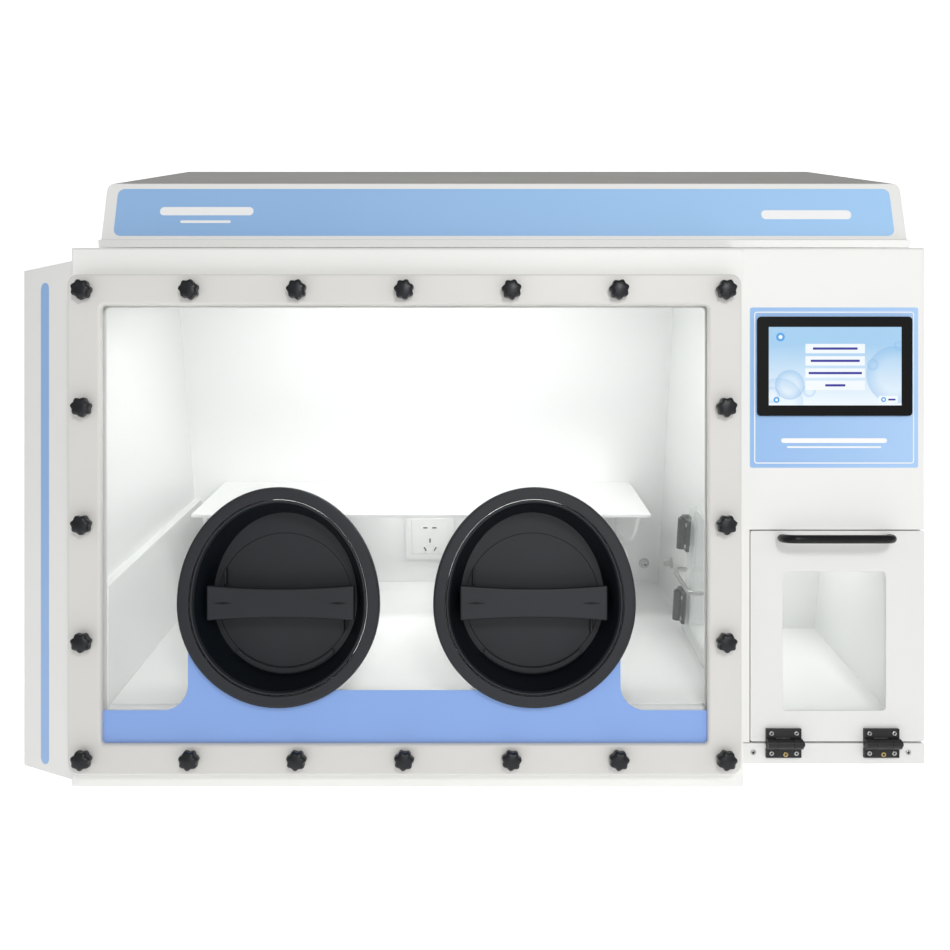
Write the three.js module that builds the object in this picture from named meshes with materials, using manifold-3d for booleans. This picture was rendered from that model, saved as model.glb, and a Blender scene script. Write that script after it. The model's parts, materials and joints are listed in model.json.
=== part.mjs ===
// A laboratory glove box: a bench-top chamber with a sloped clear window, two arm ports
// and an airlock column on its right. Millimetres, +X right, +Y back, +Z up. The origin is
// on the bench, under the middle of the whole object.
//
// Two sloped planes carry the front pieces. Each has its own group, whose local X runs
// across, local Z up the slope and local -Y straight out of the face.

import * as THREE from 'three';
import { mergeVertices } from 'three/addons/utils/BufferGeometryUtils.js';
import Module from 'manifold-3d';

const wasm = await Module();
wasm.setup();

// ---------------------------------------------------------------- driving dimensions

const GAP = 0.3;                 // air between pieces that rest on each other
const THROUGH = 20;              // how far a cutter runs past what it cuts
const SHEET = 2.5;               // powder-coated steel sheet
const LEAN = THREE.MathUtils.degToRad(14.3);

const FOOT_HEIGHT = 20;
const FOOT_RADIUS = 20;
const FOOT_PLACES = [[-470, -262], [-470, 280], [575, -212], [575, 280]];

const CASE_LEFT = -531;
const CASE_RIGHT = 366;
const CASE_FRONT = -320;         // bottom front edge of the main case
const CASE_REAR = 325;
const CASE_TOP = 716;

const COLUMN_SETBACK = 52.3;     // the column's face lies this far behind the main face
const COLUMN_RIGHT = 634;

const CHEEK_LEFT = -634;         // side cover on the left, with a chamfered front
const CHEEK_NEAR = 15;           // depth behind the main face where the chamfer starts
const CHEEK_FAR = 81;            // and where it ends
const CHEEK_LOW = 2;
const CHEEK_HIGH = 706;
const CHEEK_REAR = 320;

const HOOD_LEFT = -516;
const HOOD_RIGHT = 613.5;
const HOOD_LIP_FRONT = -88;      // flush with the top of the column's face
const HOOD_LIP_TOP = 727;
const HOOD_FACE_FOOT = -77;
const HOOD_FACE_TOP = [-34, 804.5];
const HOOD_ROOF_REAR = 848;

const CHAMBER = { left: -494, right: 345, floor: 119, ceiling: 670, back: 171 };
const LINER_WALL = 4;
const DUCT_DEPTH = 12;           // air duct panel low on the chamber's left wall
const DUCT_HEIGHT = 160;

const DOORWAY = { depth: 72, back: -62, low: 138, high: 327 };    // chamber to airlock
const COLLAR_WALL = 3;
const AIRLOCK = { left: 374, right: 596, floor: 76, ceiling: 340, back: 65 };
const AIRLOCK_WALL = 3;

const WINDOW_X = -84.5;          // centre of the window across
const WINDOW_S = 350.5;          // and up the slope
const FRAME_SIZE = [885, 657];
const FRAME_CORNER = 14;
const FRAME_FRONT = 20;          // how far the clamp frame stands off the case
const OPENING_SIZE = [797, 576];
const OPENING_CORNER = 5;
const PANE_SIZE = [819, 598];
const GASKET_THICK = 3;
const PANE_THICK = 8;

const KNOB_COLUMNS = 7;
const KNOB_ROWS = 5;
const KNOB_PITCH = [140.2, 153.4];
const KNOB_LOBES = 7;
const KNOB_RADIUS = 13.3;
const KNOB_WAVE = 0.09;          // lobe height as a share of the mean radius
const KNOB_HEAD = 16;
const KNOB_POINTS_PER_LOBE = 4;
const SHANK_RADIUS = 2.9;
const SHANK_HOLE_RADIUS = 3.5;
const SHANK_SIDES = 10;

const PORT_MID_X = -82;
const PORT_SPREAD = 168;
const PORT_S = 245.7;            // hub height up the slope
const PORT_OUTLINE = { wide: 133, up: 154, down: 136 };
const PORT_FLANGE_THICK = 12;
const PORT_FLANGE_WIDE = 16;
const PORT_SLEEVE_WALL = 4;
const PORT_SLEEVE_END = 50;      // depth behind the main face
const PORT_STEPS = 11;           // each half of a port outline is twice as many pieces
const DOOR_RIM = 22;             // the plug's rim stands this far out
const DOOR_DEPTH = 56;
const DOOR_TAPER = 18;
const DOOR_WALL = 4;
const DISC_RADIUS = 91;
const DISC_THICK = 5;
const DISC_STEPS = 36;
const BAR_HALF = 98;
const BAR_END_HEIGHT = 47;
const BAR_WAIST_HEIGHT = 33;
const BAR_STANDOFF = 24;
const BAR_THICK = 9;
const BAR_FOOT = 13;
const BAR_CURVE_STEPS = 8;
const FIN = { inset: 13, thick: 3, reach: 44, proud: 9 };

const DOOR_BOTTOM = 31.2;        // airlock door, up the column's slope
const DOOR_TOP = 324.7;
const DOOR_LEFT = 391.2;
const DOOR_RIGHT = 633.7;
const DOOR_THICK = 10;
const DOOR_RECESS = 12.3;        // the sheet behind the door
const DOOR_RECESS_TOP = 326.2;
const DOOR_GLASS = { left: 436.3, right: 579.7, low: 74.5, high: 267.8 };
const DOOR_GLASS_LAP = 10;
const DOOR_GLASS_THICK = 4;
const MOUTH = { left: 404, right: 590, low: 44, high: 306 };      // hole behind the door
const SEAL_WIDE = 8;
const STRIP_TOP = 29;

const PULL_X = 506;
const PULL_S = 315;
const PULL_HALF = 74;
const PULL_RADIUS = 6.3;
const PULL_STANDOFF = 32;
const PULL_BEND = 16;
const TUBE_HALF_SIDES = 5;
const TUBE_STEPS = 22;

const HINGE_WIDE = 48.5;
const HINGE_REACH = 20;          // from the pin to a leaf's far edge
const HINGE_PROUD = 8;           // the pin stands this far off the mounting face
const HINGE_BARREL = 7.2;
const HINGE_LEAF = [3, 7.7];     // near and far side of a leaf, measured from the pin
const HINGE_CLEAR = 7.8;
const HINGE_MIDDLE = 11;         // half the middle knuckle
const HINGE_SIDES = 16;
const DOOR_HINGE_X = [436.3, 572.1];
const DOOR_HINGE_S = 30.1;

const INNER_DOOR_LAP = 8;
const INNER_DOOR_THICK = 8;
const INNER_HINGE_Y = -50;
const INNER_HINGE_Z = [168, 287];
const INNER_PULL_Y = -120;
const INNER_PULL_Z = 235;
const INNER_PULL_HALF = 50;
const INNER_PULL_RADIUS = 3.5;
const INNER_PULL_STANDOFF = 22;
const INNER_PULL_BEND = 14;

const SCREEN = { left: 400, right: 615, low: 484.3, high: 622 };
const SCREEN_PROUD = 4;
const SCREEN_CORNER = 5;
const SCREEN_BORDER = 13;
const SCREEN_BODY_DEPTH = 34;

const SHELF = { left: -437, right: 284, front: -29, top: 311, thick: 5.5 };
const BRACKET_INSET = 17;
const BRACKET_THICK = 5;
const TRAY = { right: 333, front: -282, thick: 3 };
const SOCKET = { left: -116, right: -30, low: 169, high: 255, thick: 9 };
const SOCKET_PIN = [2.4, 8];
const SOCKET_PIN_DEPTH = 6;
const LAMP = { left: -374, right: 225, front: -130, back: -90, low: 652 };

const REAR_PLATE = 2;
const REAR_REACH = 347.6;        // the gas stubs reach as far back as the knobs do forward
const GAS_STUB_X = [440, 490, 540];
const GAS_STUB_Z = 120;
const GAS_NUT_RADIUS = 10;
const GAS_NUT_DEPTH = 8;
const GAS_STUB_RADIUS = 4.5;
const POWER_INLET = { left: 560, right: 608, low: 62, high: 90, deep: 6 };
const VENT_ROWS = 7;
const VENT_PITCH = 14;
const VENT_SIZE = [150, 6];
const VENT_PLACES = [[-330, 520], [120, 520], [500, 520]];

// ---------------------------------------------------------------- geometry helpers

// A closed geometry as a solid that can be joined and cut.
function solidOf(geometry) {
  const bare = geometry.clone();
  bare.deleteAttribute('normal');
  bare.deleteAttribute('uv');
  const welded = mergeVertices(bare, 1e-4);
  return new wasm.Manifold(new wasm.Mesh({
    numProp: 3,
    vertProperties: new Float32Array(welded.attributes.position.array),
    triVerts: new Uint32Array(welded.index.array),
  }));
}

function geometryOf(solid) {
  const mesh = solid.getMesh();
  const geometry = new THREE.BufferGeometry();
  geometry.setAttribute('position', new THREE.BufferAttribute(mesh.vertProperties, 3));
  geometry.setIndex(new THREE.BufferAttribute(mesh.triVerts, 1));
  geometry.computeVertexNormals();
  return geometry;
}

function box(x0, x1, y0, y1, z0, z1) {
  const geometry = new THREE.BoxGeometry(x1 - x0, y1 - y0, z1 - z0);
  geometry.translate((x0 + x1) / 2, (y0 + y1) / 2, (z0 + z1) / 2);
  return solidOf(geometry);
}

function extrude(shape, depth, curveSegments = 2) {
  return new THREE.ExtrudeGeometry(shape, { depth, curveSegments, bevelEnabled: false });
}

// A side-view outline, given as [y, z] corners or as a shape, drawn out from x0 to x1.
function prism(outline, x0, x1, curveSegments = 6) {
  const shape = outline instanceof THREE.Shape ? outline : polygon(outline);
  const geometry = extrude(shape, x1 - x0, curveSegments);
  const across = new THREE.Vector3(1, 0, 0);
  const back = new THREE.Vector3(0, 1, 0);
  const up = new THREE.Vector3(0, 0, 1);
  geometry.applyMatrix4(new THREE.Matrix4().makeBasis(back, up, across));
  geometry.translate(x0, 0, 0);
  return solidOf(geometry);
}

// A front-view shape as a slab between two depths behind the face; front < back.
function slab(shape, front, back, curveSegments = 2) {
  const geometry = extrude(shape, back - front, curveSegments);
  geometry.rotateX(Math.PI / 2);
  geometry.translate(0, back, 0);
  return solidOf(geometry);
}

function polygon(corners) {
  return new THREE.Shape(corners.map(([a, b]) => new THREE.Vector2(a, b)));
}

function roundedRectangle(left, right, low, high, radius) {
  const shape = new THREE.Shape();
  shape.absarc(right - radius, high - radius, radius, 0, Math.PI / 2);
  shape.absarc(left + radius, high - radius, radius, Math.PI / 2, Math.PI);
  shape.absarc(left + radius, low + radius, radius, Math.PI, 3 * Math.PI / 2);
  shape.absarc(right - radius, low + radius, radius, 3 * Math.PI / 2, 2 * Math.PI);
  shape.closePath();
  return shape;
}

function centredRectangle([wide, high], x, s, radius) {
  return roundedRectangle(x - wide / 2, x + wide / 2, s - high / 2, s + high / 2, radius);
}

// A cylinder along one axis ('x', 'y' or 'z'), centred on its own middle.
function rod(axis, radius, length, sides) {
  const geometry = new THREE.CylinderGeometry(radius, radius, length, sides);
  if (axis === 'x') geometry.rotateZ(Math.PI / 2);
  if (axis === 'z') geometry.rotateX(Math.PI / 2);
  return solidOf(geometry);
}

// The point at a depth behind the main face and a distance up its slope, as [y, z].
function onSlope(depth, along) {
  const y = CASE_FRONT + along * Math.sin(LEAN) + depth * Math.cos(LEAN);
  const z = FOOT_HEIGHT + along * Math.cos(LEAN) - depth * Math.sin(LEAN);
  return [y, z];
}

// Side outline whose front edge is the main slope pushed back by a depth.
function sideOutline(depth, low, high, rear) {
  const frontAt = (z) => CASE_FRONT + (z - FOOT_HEIGHT) * Math.tan(LEAN) + depth / Math.cos(LEAN);
  return [[frontAt(low), low], [rear, low], [rear, high], [frontAt(high), high]];
}

// The doorway between chamber and airlock as a block, grown on all sides by a margin. Its
// front edge leans with the window.
function doorwayBlock(grow, x0, x1) {
  const { depth, back, low, high } = DOORWAY;
  return prism(sideOutline(depth - grow, low - grow, high + grow, back + grow), x0, x1);
}

// ---------------------------------------------------------------- groups and materials

const gloveBox = new THREE.Group();
const mainFace = new THREE.Group();
mainFace.position.set(0, CASE_FRONT, FOOT_HEIGHT);
mainFace.rotation.x = -LEAN;
const columnFace = new THREE.Group();
columnFace.position.set(0, CASE_FRONT + COLUMN_SETBACK / Math.cos(LEAN), FOOT_HEIGHT);
columnFace.rotation.x = -LEAN;
gloveBox.add(mainFace, columnFace);
gloveBox.updateMatrixWorld(true);

// A solid drawn on a sloped face, carried into the object's own frame to cut with.
function fromFace(face, solid) {
  return solidOf(geometryOf(solid).applyMatrix4(face.matrixWorld));
}

const FINISHES = {
  powderWhite: { color: 0xeeeeea, roughness: 0.45, metalness: 0.0 },
  linerWhite: { color: 0xf4f5f2, roughness: 0.35, metalness: 0.0 },
  frameGrey: { color: 0xdad8d4, roughness: 0.4, metalness: 0.0 },
  clear: { color: 0xe8f2f0, roughness: 0.05, metalness: 0.0, transparent: true, opacity: 0.25 },
  rubber: { color: 0x2a2a2c, roughness: 0.8, metalness: 0.0 },
  silicone: { color: 0xdcdcd8, roughness: 0.7, metalness: 0.0 },
  blackPlastic: { color: 0x24262c, roughness: 0.5, metalness: 0.0 },
  blackMetal: { color: 0x1c1c1e, roughness: 0.4, metalness: 0.3 },
  steel: { color: 0xb8babc, roughness: 0.3, metalness: 0.9 },
  screen: { color: 0x222222, roughness: 0.2, metalness: 0.0 },
  lamp: { color: 0xffffff, roughness: 0.5, metalness: 0.0 },
};

function add(parent, name, solid, finish) {
  const mesh = new THREE.Mesh(geometryOf(solid), new THREE.MeshStandardMaterial(FINISHES[finish]));
  mesh.name = name;
  parent.add(mesh);
  return mesh;
}

// ---------------------------------------------------------------- casings and covers

// Sheet case: open behind, with the window hole in its face and the airlock hole on the right.
function mainCase() {
  const outer = prism(sideOutline(0, FOOT_HEIGHT, CASE_TOP, CASE_REAR), CASE_LEFT, CASE_RIGHT);
  const insideLow = FOOT_HEIGHT + SHEET;
  const insideOutline = sideOutline(SHEET, insideLow, CASE_TOP - SHEET, CASE_REAR + THROUGH);
  const inner = prism(insideOutline, CASE_LEFT + SHEET, CASE_RIGHT - SHEET);
  const hole = centredRectangle(OPENING_SIZE, WINDOW_X, WINDOW_S, OPENING_CORNER);
  const windowHole = fromFace(mainFace, slab(hole, -THROUGH, THROUGH));
  const sideHole = doorwayBlock(COLLAR_WALL + GAP, CASE_RIGHT - THROUGH, CASE_RIGHT + THROUGH);
  return outer.subtract(inner).subtract(windowHole).subtract(sideHole);
}

// White inner chamber, open at the front, with a duct panel low on its left wall.
function chamberLiner() {
  const front = SHEET + GAP;
  const w = LINER_WALL;
  const shellOutline = sideOutline(front, CHAMBER.floor - w, CHAMBER.ceiling + w, CHAMBER.back + w);
  const shell = prism(shellOutline, CHAMBER.left - w, CHAMBER.right + w);
  const roomOutline = sideOutline(-THROUGH, CHAMBER.floor, CHAMBER.ceiling, CHAMBER.back);
  const room = prism(roomOutline, CHAMBER.left, CHAMBER.right);
  const ductTop = CHAMBER.floor + DUCT_HEIGHT;
  const ductOutline = sideOutline(front, CHAMBER.floor - w, ductTop, CHAMBER.back + w);
  const duct = prism(ductOutline, CHAMBER.left - w, CHAMBER.left + DUCT_DEPTH);
  const doorway = doorwayBlock(0, CHAMBER.right - THROUGH, CHAMBER.right + THROUGH);
  return shell.subtract(room).subtract(doorway).add(duct);
}

// The cheek's outline and chamfer, drawn in by a sheet thickness for its inside.
function cheekBody(inset, right) {
  const low = CHEEK_LOW + inset;
  const high = CHEEK_HIGH - inset;
  const rear = CHEEK_REAR - inset;
  const lowCorner = onSlope(CHEEK_FAR, low);
  const highCorner = onSlope(CHEEK_FAR, high);
  const outline = [
    onSlope(CHEEK_NEAR + inset, low), lowCorner, [rear, lowCorner[1]],
    [rear, highCorner[1]], highCorner, onSlope(CHEEK_NEAR + inset, high),
  ];
  const body = prism(outline, CHEEK_LEFT + inset, right);
  const start = new THREE.Vector2(CASE_LEFT, CHEEK_NEAR);
  const end = new THREE.Vector2(CHEEK_LEFT, CHEEK_FAR);
  const along = end.clone().sub(start).normalize();
  const inward = new THREE.Vector2(-along.y, along.x).multiplyScalar(-1);
  const shift = inward.clone().multiplyScalar(inset);
  const reach = along.clone().multiplyScalar(4 * THROUGH);
  const near = start.clone().add(shift).sub(reach);
  const far = end.clone().add(shift).add(reach);
  const away = new THREE.Vector2(far.x, near.y);
  const chamfer = extrude(new THREE.Shape([near, far, away]), CHEEK_HIGH + 2 * THROUGH);
  chamfer.translate(0, 0, -THROUGH);
  return body.subtract(fromFace(mainFace, solidOf(chamfer)));
}

// Sheet cover over the left side of the case, open towards it.
function leftCheek() {
  return cheekBody(0, CASE_LEFT - GAP).subtract(cheekBody(SHEET, CASE_LEFT + THROUGH));
}

// Top cover with a back-leaning header face and a rising roof, open underneath.
function hood() {
  const foot = CASE_TOP + GAP;
  const [faceY, faceZ] = HOOD_FACE_TOP;
  const outer = prism([
    [HOOD_LIP_FRONT, foot], [CASE_REAR, foot], [CASE_REAR, HOOD_ROOF_REAR],
    [faceY, faceZ], [HOOD_FACE_FOOT, HOOD_LIP_TOP], [HOOD_LIP_FRONT, HOOD_LIP_TOP],
  ], HOOD_LEFT, HOOD_RIGHT);
  const inside = HOOD_FACE_FOOT + SHEET;
  const inner = prism([
    [inside, foot - THROUGH], [CASE_REAR - SHEET, foot - THROUGH],
    [CASE_REAR - SHEET, HOOD_ROOF_REAR - SHEET], [faceY + SHEET, faceZ - SHEET],
    [inside, HOOD_LIP_TOP],
  ], HOOD_LEFT + SHEET, HOOD_RIGHT - SHEET);
  return outer.subtract(inner);
}

// Front, right side, top and bottom of the airlock column, with a step for the door.
function columnCase() {
  const left = CASE_RIGHT + GAP;
  const outer = prism(
    sideOutline(COLUMN_SETBACK, FOOT_HEIGHT, CASE_TOP, CASE_REAR), left, COLUMN_RIGHT,
  );
  const inner = prism(
    sideOutline(COLUMN_SETBACK + SHEET, FOOT_HEIGHT + SHEET, CASE_TOP - SHEET, CASE_REAR + THROUGH),
    left - THROUGH, COLUMN_RIGHT - SHEET,
  );
  const step = doorStep(0);
  const mouth = roundedRectangle(MOUTH.left, MOUTH.right, MOUTH.low, MOUTH.high, OPENING_CORNER);
  const screenHole = box(
    SCREEN.left + SCREEN_BORDER - 1, SCREEN.right - SCREEN_BORDER + 1, -THROUGH, THROUGH,
    SCREEN.low + SCREEN_BORDER - 1, SCREEN.high - SCREEN_BORDER + 1,
  );
  return outer
    .subtract(step)
    .subtract(inner.subtract(doorStep(SHEET)))
    .subtract(fromFace(columnFace, slab(mouth, -THROUGH, 2 * THROUGH)))
    .subtract(fromFace(columnFace, screenHole));
}

// The space that the airlock door and the hinge strip take out of the column's face.
function doorStep(wall) {
  const depth = DOOR_RECESS + wall;
  const doorLeft = DOOR_LEFT - 1 - wall;
  const far = COLUMN_RIGHT + THROUGH;
  const door = box(doorLeft, far, -THROUGH, depth, -THROUGH, DOOR_RECESS_TOP + wall);
  const strip = box(CASE_RIGHT - THROUGH, far, -THROUGH, depth, -THROUGH, STRIP_TOP + 1 + wall);
  return fromFace(columnFace, door.add(strip));
}

// Airlock box, open to the front, with a collar that reaches through to the chamber.
function airlockLiner() {
  const w = AIRLOCK_WALL;
  const behindDoor = COLUMN_SETBACK + DOOR_RECESS + SHEET + GAP;
  const shellOutline = sideOutline(behindDoor, AIRLOCK.floor - w, AIRLOCK.ceiling + w, AIRLOCK.back + w);
  const shell = prism(shellOutline, AIRLOCK.left - w, AIRLOCK.right + w);
  const roomOutline = sideOutline(-THROUGH, AIRLOCK.floor, AIRLOCK.ceiling, AIRLOCK.back);
  const room = prism(roomOutline, AIRLOCK.left, AIRLOCK.right);
  const collar = doorwayBlock(COLLAR_WALL, CHAMBER.right + LINER_WALL + GAP, AIRLOCK.left);
  const passage = doorwayBlock(0, CHAMBER.right, AIRLOCK.left + THROUGH);
  return shell.subtract(room).add(collar).subtract(passage);
}

// Rear plate with louvre slots, three gas stubs and a mains inlet.
function rearPanel() {
  const front = CASE_REAR + GAP;
  const back = front + REAR_PLATE;
  let panel = box(CASE_LEFT, COLUMN_RIGHT, front, back, FOOT_HEIGHT, CASE_TOP);
  for (const [x, z] of VENT_PLACES) {
    for (let row = 0; row < VENT_ROWS; row += 1) {
      const low = z + row * VENT_PITCH;
      const [wide, high] = VENT_SIZE;
      const slot = box(x - wide / 2, x + wide / 2, front - 1, back + 1, low, low + high);
      panel = panel.subtract(slot);
    }
  }
  for (const x of GAS_STUB_X) {
    const nut = rod('y', GAS_NUT_RADIUS, GAS_NUT_DEPTH + 1, 6);
    panel = panel.add(nut.translate([x, back + (GAS_NUT_DEPTH - 1) / 2, GAS_STUB_Z]));
    const stubLength = REAR_REACH - front;
    const stub = rod('y', GAS_STUB_RADIUS, stubLength, SHANK_SIDES);
    panel = panel.add(stub.translate([x, front + stubLength / 2, GAS_STUB_Z]));
  }
  const inlet = POWER_INLET;
  return panel.add(box(inlet.left, inlet.right, front, back + inlet.deep, inlet.low, inlet.high));
}

add(gloveBox, 'main_case', mainCase(), 'powderWhite');
add(gloveBox, 'chamber_liner', chamberLiner(), 'linerWhite');
add(gloveBox, 'left_side_cover', leftCheek(), 'powderWhite');
add(gloveBox, 'hood', hood(), 'powderWhite');
add(gloveBox, 'column_case', columnCase(), 'powderWhite');
add(gloveBox, 'airlock_liner', airlockLiner(), 'linerWhite');
add(gloveBox, 'rear_panel', rearPanel(), 'powderWhite');

FOOT_PLACES.forEach(([x, y], i) => {
  const height = FOOT_HEIGHT - GAP;
  const foot = rod('z', FOOT_RADIUS, height, 24).translate([x, y, height / 2]);
  add(gloveBox, `foot_${i + 1}`, foot, 'rubber');
});

// ---------------------------------------------------------------- inside the chamber

// Shelf plate on two console brackets with an ogee front edge, one welded piece.
function shelf() {
  const wall = CHAMBER.back - GAP;
  const under = SHELF.top - SHELF.thick;
  const waist = wall - 41;
  const outline = new THREE.Shape();
  outline.moveTo(wall, under + 1);
  outline.lineTo(SHELF.front + 4, under + 1);
  outline.lineTo(SHELF.front + 4, under);
  outline.bezierCurveTo(SHELF.front + 20, under - 60, waist - 60, under - 73, waist, under - 73);
  outline.lineTo(waist, under - 90);
  outline.bezierCurveTo(waist - 60, under - 84, waist - 90, under - 98, waist - 88, under - 112);
  outline.bezierCurveTo(waist - 86, under - 134, waist - 50, under - 142, waist, under - 142);
  outline.lineTo(wall, under - 142);
  outline.closePath();
  const leftFoot = SHELF.left + BRACKET_INSET;
  const rightFoot = SHELF.right - BRACKET_INSET;
  return box(SHELF.left, SHELF.right, SHELF.front, wall, under, SHELF.top)
    .add(prism(outline, leftFoot, leftFoot + BRACKET_THICK))
    .add(prism(outline, rightFoot - BRACKET_THICK, rightFoot));
}

// Five-hole mains socket on the back wall.
function wallSocket() {
  const wall = CHAMBER.back - GAP;
  const face = wall - SOCKET.thick;
  const x = (SOCKET.left + SOCKET.right) / 2;
  const z = (SOCKET.low + SOCKET.high) / 2;
  const [wide, high] = SOCKET_PIN;
  const pin = () => box(-wide / 2, wide / 2, -1, SOCKET_PIN_DEPTH, -high / 2, high / 2);
  let plate = box(SOCKET.left, SOCKET.right, face, wall, SOCKET.low, SOCKET.high);
  const pins = [[-8, 16, 90], [8, 16, 90], [0, -8, 0], [-9, -24, -30], [9, -24, 30]];
  for (const [dx, dz, turn] of pins) {
    plate = plate.subtract(pin().rotate([0, turn, 0]).translate([x + dx, face, z + dz]));
  }
  return plate;
}

const trayBack = CHAMBER.back - GAP;
const trayLow = CHAMBER.floor + GAP;
const tray = box(
  CHAMBER.left + DUCT_DEPTH + GAP, TRAY.right, TRAY.front, trayBack, trayLow, trayLow + TRAY.thick,
);
const lamp = box(
  LAMP.left, LAMP.right, LAMP.front, LAMP.back, LAMP.low, CHAMBER.ceiling - GAP,
);
add(gloveBox, 'shelf', shelf(), 'linerWhite');
add(gloveBox, 'floor_plate', tray, 'linerWhite');
add(gloveBox, 'wall_socket', wallSocket(), 'powderWhite');
add(gloveBox, 'chamber_lamp', lamp, 'lamp');

// ---------------------------------------------------------------- window and its clamp

const gasketBack = -GAP;
const gasketFront = gasketBack - GASKET_THICK;
const paneBack = gasketFront - GAP;
const paneFront = paneBack - PANE_THICK;
const opening = () => centredRectangle(OPENING_SIZE, WINDOW_X, WINDOW_S, OPENING_CORNER);
const knobPlaces = [];
for (let row = 0; row < KNOB_ROWS; row += 1) {
  for (let column = 0; column < KNOB_COLUMNS; column += 1) {
    const onEdge = row === 0 || row === KNOB_ROWS - 1 || column === 0 || column === KNOB_COLUMNS - 1;
    if (onEdge) {
      const x = WINDOW_X + (column - (KNOB_COLUMNS - 1) / 2) * KNOB_PITCH[0];
      const s = WINDOW_S + ((KNOB_ROWS - 1) / 2 - row) * KNOB_PITCH[1];
      knobPlaces.push([x, s]);
    }
  }
}

// Frame with a rebate behind for the pane, and a clearance hole for each knob's shank.
function clampFrame() {
  const outline = centredRectangle(FRAME_SIZE, WINDOW_X, WINDOW_S, FRAME_CORNER);
  const [wide, high] = PANE_SIZE;
  const rebate = centredRectangle([wide + 2, high + 2], WINDOW_X, WINDOW_S, 1);
  let frame = slab(outline, -FRAME_FRONT, -GAP)
    .subtract(slab(opening(), -FRAME_FRONT - THROUGH, THROUGH))
    .subtract(slab(rebate, paneFront - GAP, THROUGH));
  for (const [x, s] of knobPlaces) {
    const hole = rod('y', SHANK_HOLE_RADIUS, 4 * FRAME_FRONT, SHANK_SIDES);
    frame = frame.subtract(hole.translate([x, 0, s]));
  }
  return frame;
}

// A port's egg outline, drawn in by an inset: two half ellipses that meet at the hub line.
function portOutline(inset, x = 0, s = 0) {
  const wide = PORT_OUTLINE.wide - inset;
  const shape = new THREE.Shape();
  shape.absellipse(x, s, wide, PORT_OUTLINE.up - inset, 0, Math.PI);
  shape.absellipse(x, s, wide, PORT_OUTLINE.down - inset, Math.PI, 2 * Math.PI);
  return shape;
}

const sleeveInset = PORT_FLANGE_WIDE - PORT_SLEEVE_WALL;
const portCentres = { left: PORT_MID_X - PORT_SPREAD, right: PORT_MID_X + PORT_SPREAD };

function windowPane() {
  let pane = slab(centredRectangle(PANE_SIZE, WINDOW_X, WINDOW_S, 1), paneFront, paneBack);
  for (const x of Object.values(portCentres)) {
    const hole = portOutline(sleeveInset - 2 * GAP, x, PORT_S);
    pane = pane.subtract(slab(hole, paneFront - 1, paneBack + 1, PORT_STEPS));
  }
  return pane;
}

function windowGasket() {
  return slab(centredRectangle(PANE_SIZE, WINDOW_X, WINDOW_S, 1), gasketFront, gasketBack)
    .subtract(slab(opening(), gasketFront - 1, gasketBack + 1));
}

// Star knob: a lobed head with its threaded shank behind it.
function starKnob() {
  const count = KNOB_LOBES * KNOB_POINTS_PER_LOBE;
  const mean = KNOB_RADIUS / (1 + KNOB_WAVE);
  const corners = [];
  for (let i = 0; i < count; i += 1) {
    const turn = (2 * Math.PI * i) / count;
    const radius = mean * (1 + KNOB_WAVE * Math.cos(KNOB_LOBES * turn));
    corners.push([radius * Math.sin(turn), radius * Math.cos(turn)]);
  }
  const headBack = -FRAME_FRONT - GAP;
  const head = slab(polygon(corners), headBack - KNOB_HEAD, headBack);
  const shankEnd = -2 * GAP;
  const shankLength = shankEnd - headBack + 1;
  const shank = rod('y', SHANK_RADIUS, shankLength, SHANK_SIDES);
  return head.add(shank.translate([0, shankEnd - shankLength / 2, 0]));
}

add(mainFace, 'window_frame', clampFrame(), 'frameGrey');
add(mainFace, 'window_pane', windowPane(), 'clear');
add(mainFace, 'window_gasket', windowGasket(), 'silicone');
knobPlaces.forEach(([x, s], i) => {
  const knob = add(mainFace, `star_knob_${String(i + 1).padStart(2, '0')}`, starKnob(), 'blackPlastic');
  knob.position.set(x, 0, s);
});

// ---------------------------------------------------------------- arm ports

// Flange in front of the pane and a sleeve that runs through it.
function portRing() {
  const back = paneFront - GAP;
  const front = back - PORT_FLANGE_THICK;
  return slab(portOutline(0), front, back, PORT_STEPS)
    .add(slab(portOutline(sleeveInset), front + 1, PORT_SLEEVE_END, PORT_STEPS))
    .subtract(slab(portOutline(PORT_FLANGE_WIDE), front - 1, PORT_SLEEVE_END + 1, PORT_STEPS));
}

// A cup shape: the outline at its front, drawn in by the taper at its floor.
function taperedPlug(inset, front, depth, taper) {
  const geometry = new THREE.ExtrudeGeometry(portOutline(inset), {
    depth: 1,
    curveSegments: PORT_STEPS,
    bevelSegments: 1,
    bevelThickness: depth,
    bevelSize: taper,
    bevelOffset: -taper,
  });
  geometry.rotateX(Math.PI / 2);
  geometry.translate(0, front, 0);
  const far = PORT_OUTLINE.up + THROUGH;
  return solidOf(geometry).intersect(box(-far, far, front, front + depth + 1, -far, far));
}

// Plug door: a tapered cup with a flat floor.
function portDoor() {
  const inset = PORT_FLANGE_WIDE + 2 * GAP;
  const cup = taperedPlug(inset, -DOOR_RIM, DOOR_DEPTH, DOOR_TAPER);
  const hollow = taperedPlug(inset + DOOR_WALL, -DOOR_RIM, DOOR_DEPTH - DOOR_WALL, DOOR_TAPER - 1);
  const mouth = slab(portOutline(inset + DOOR_WALL), -DOOR_RIM - 1, -DOOR_RIM + GAP, PORT_STEPS);
  return cup.subtract(hollow).subtract(mouth);
}

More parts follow.
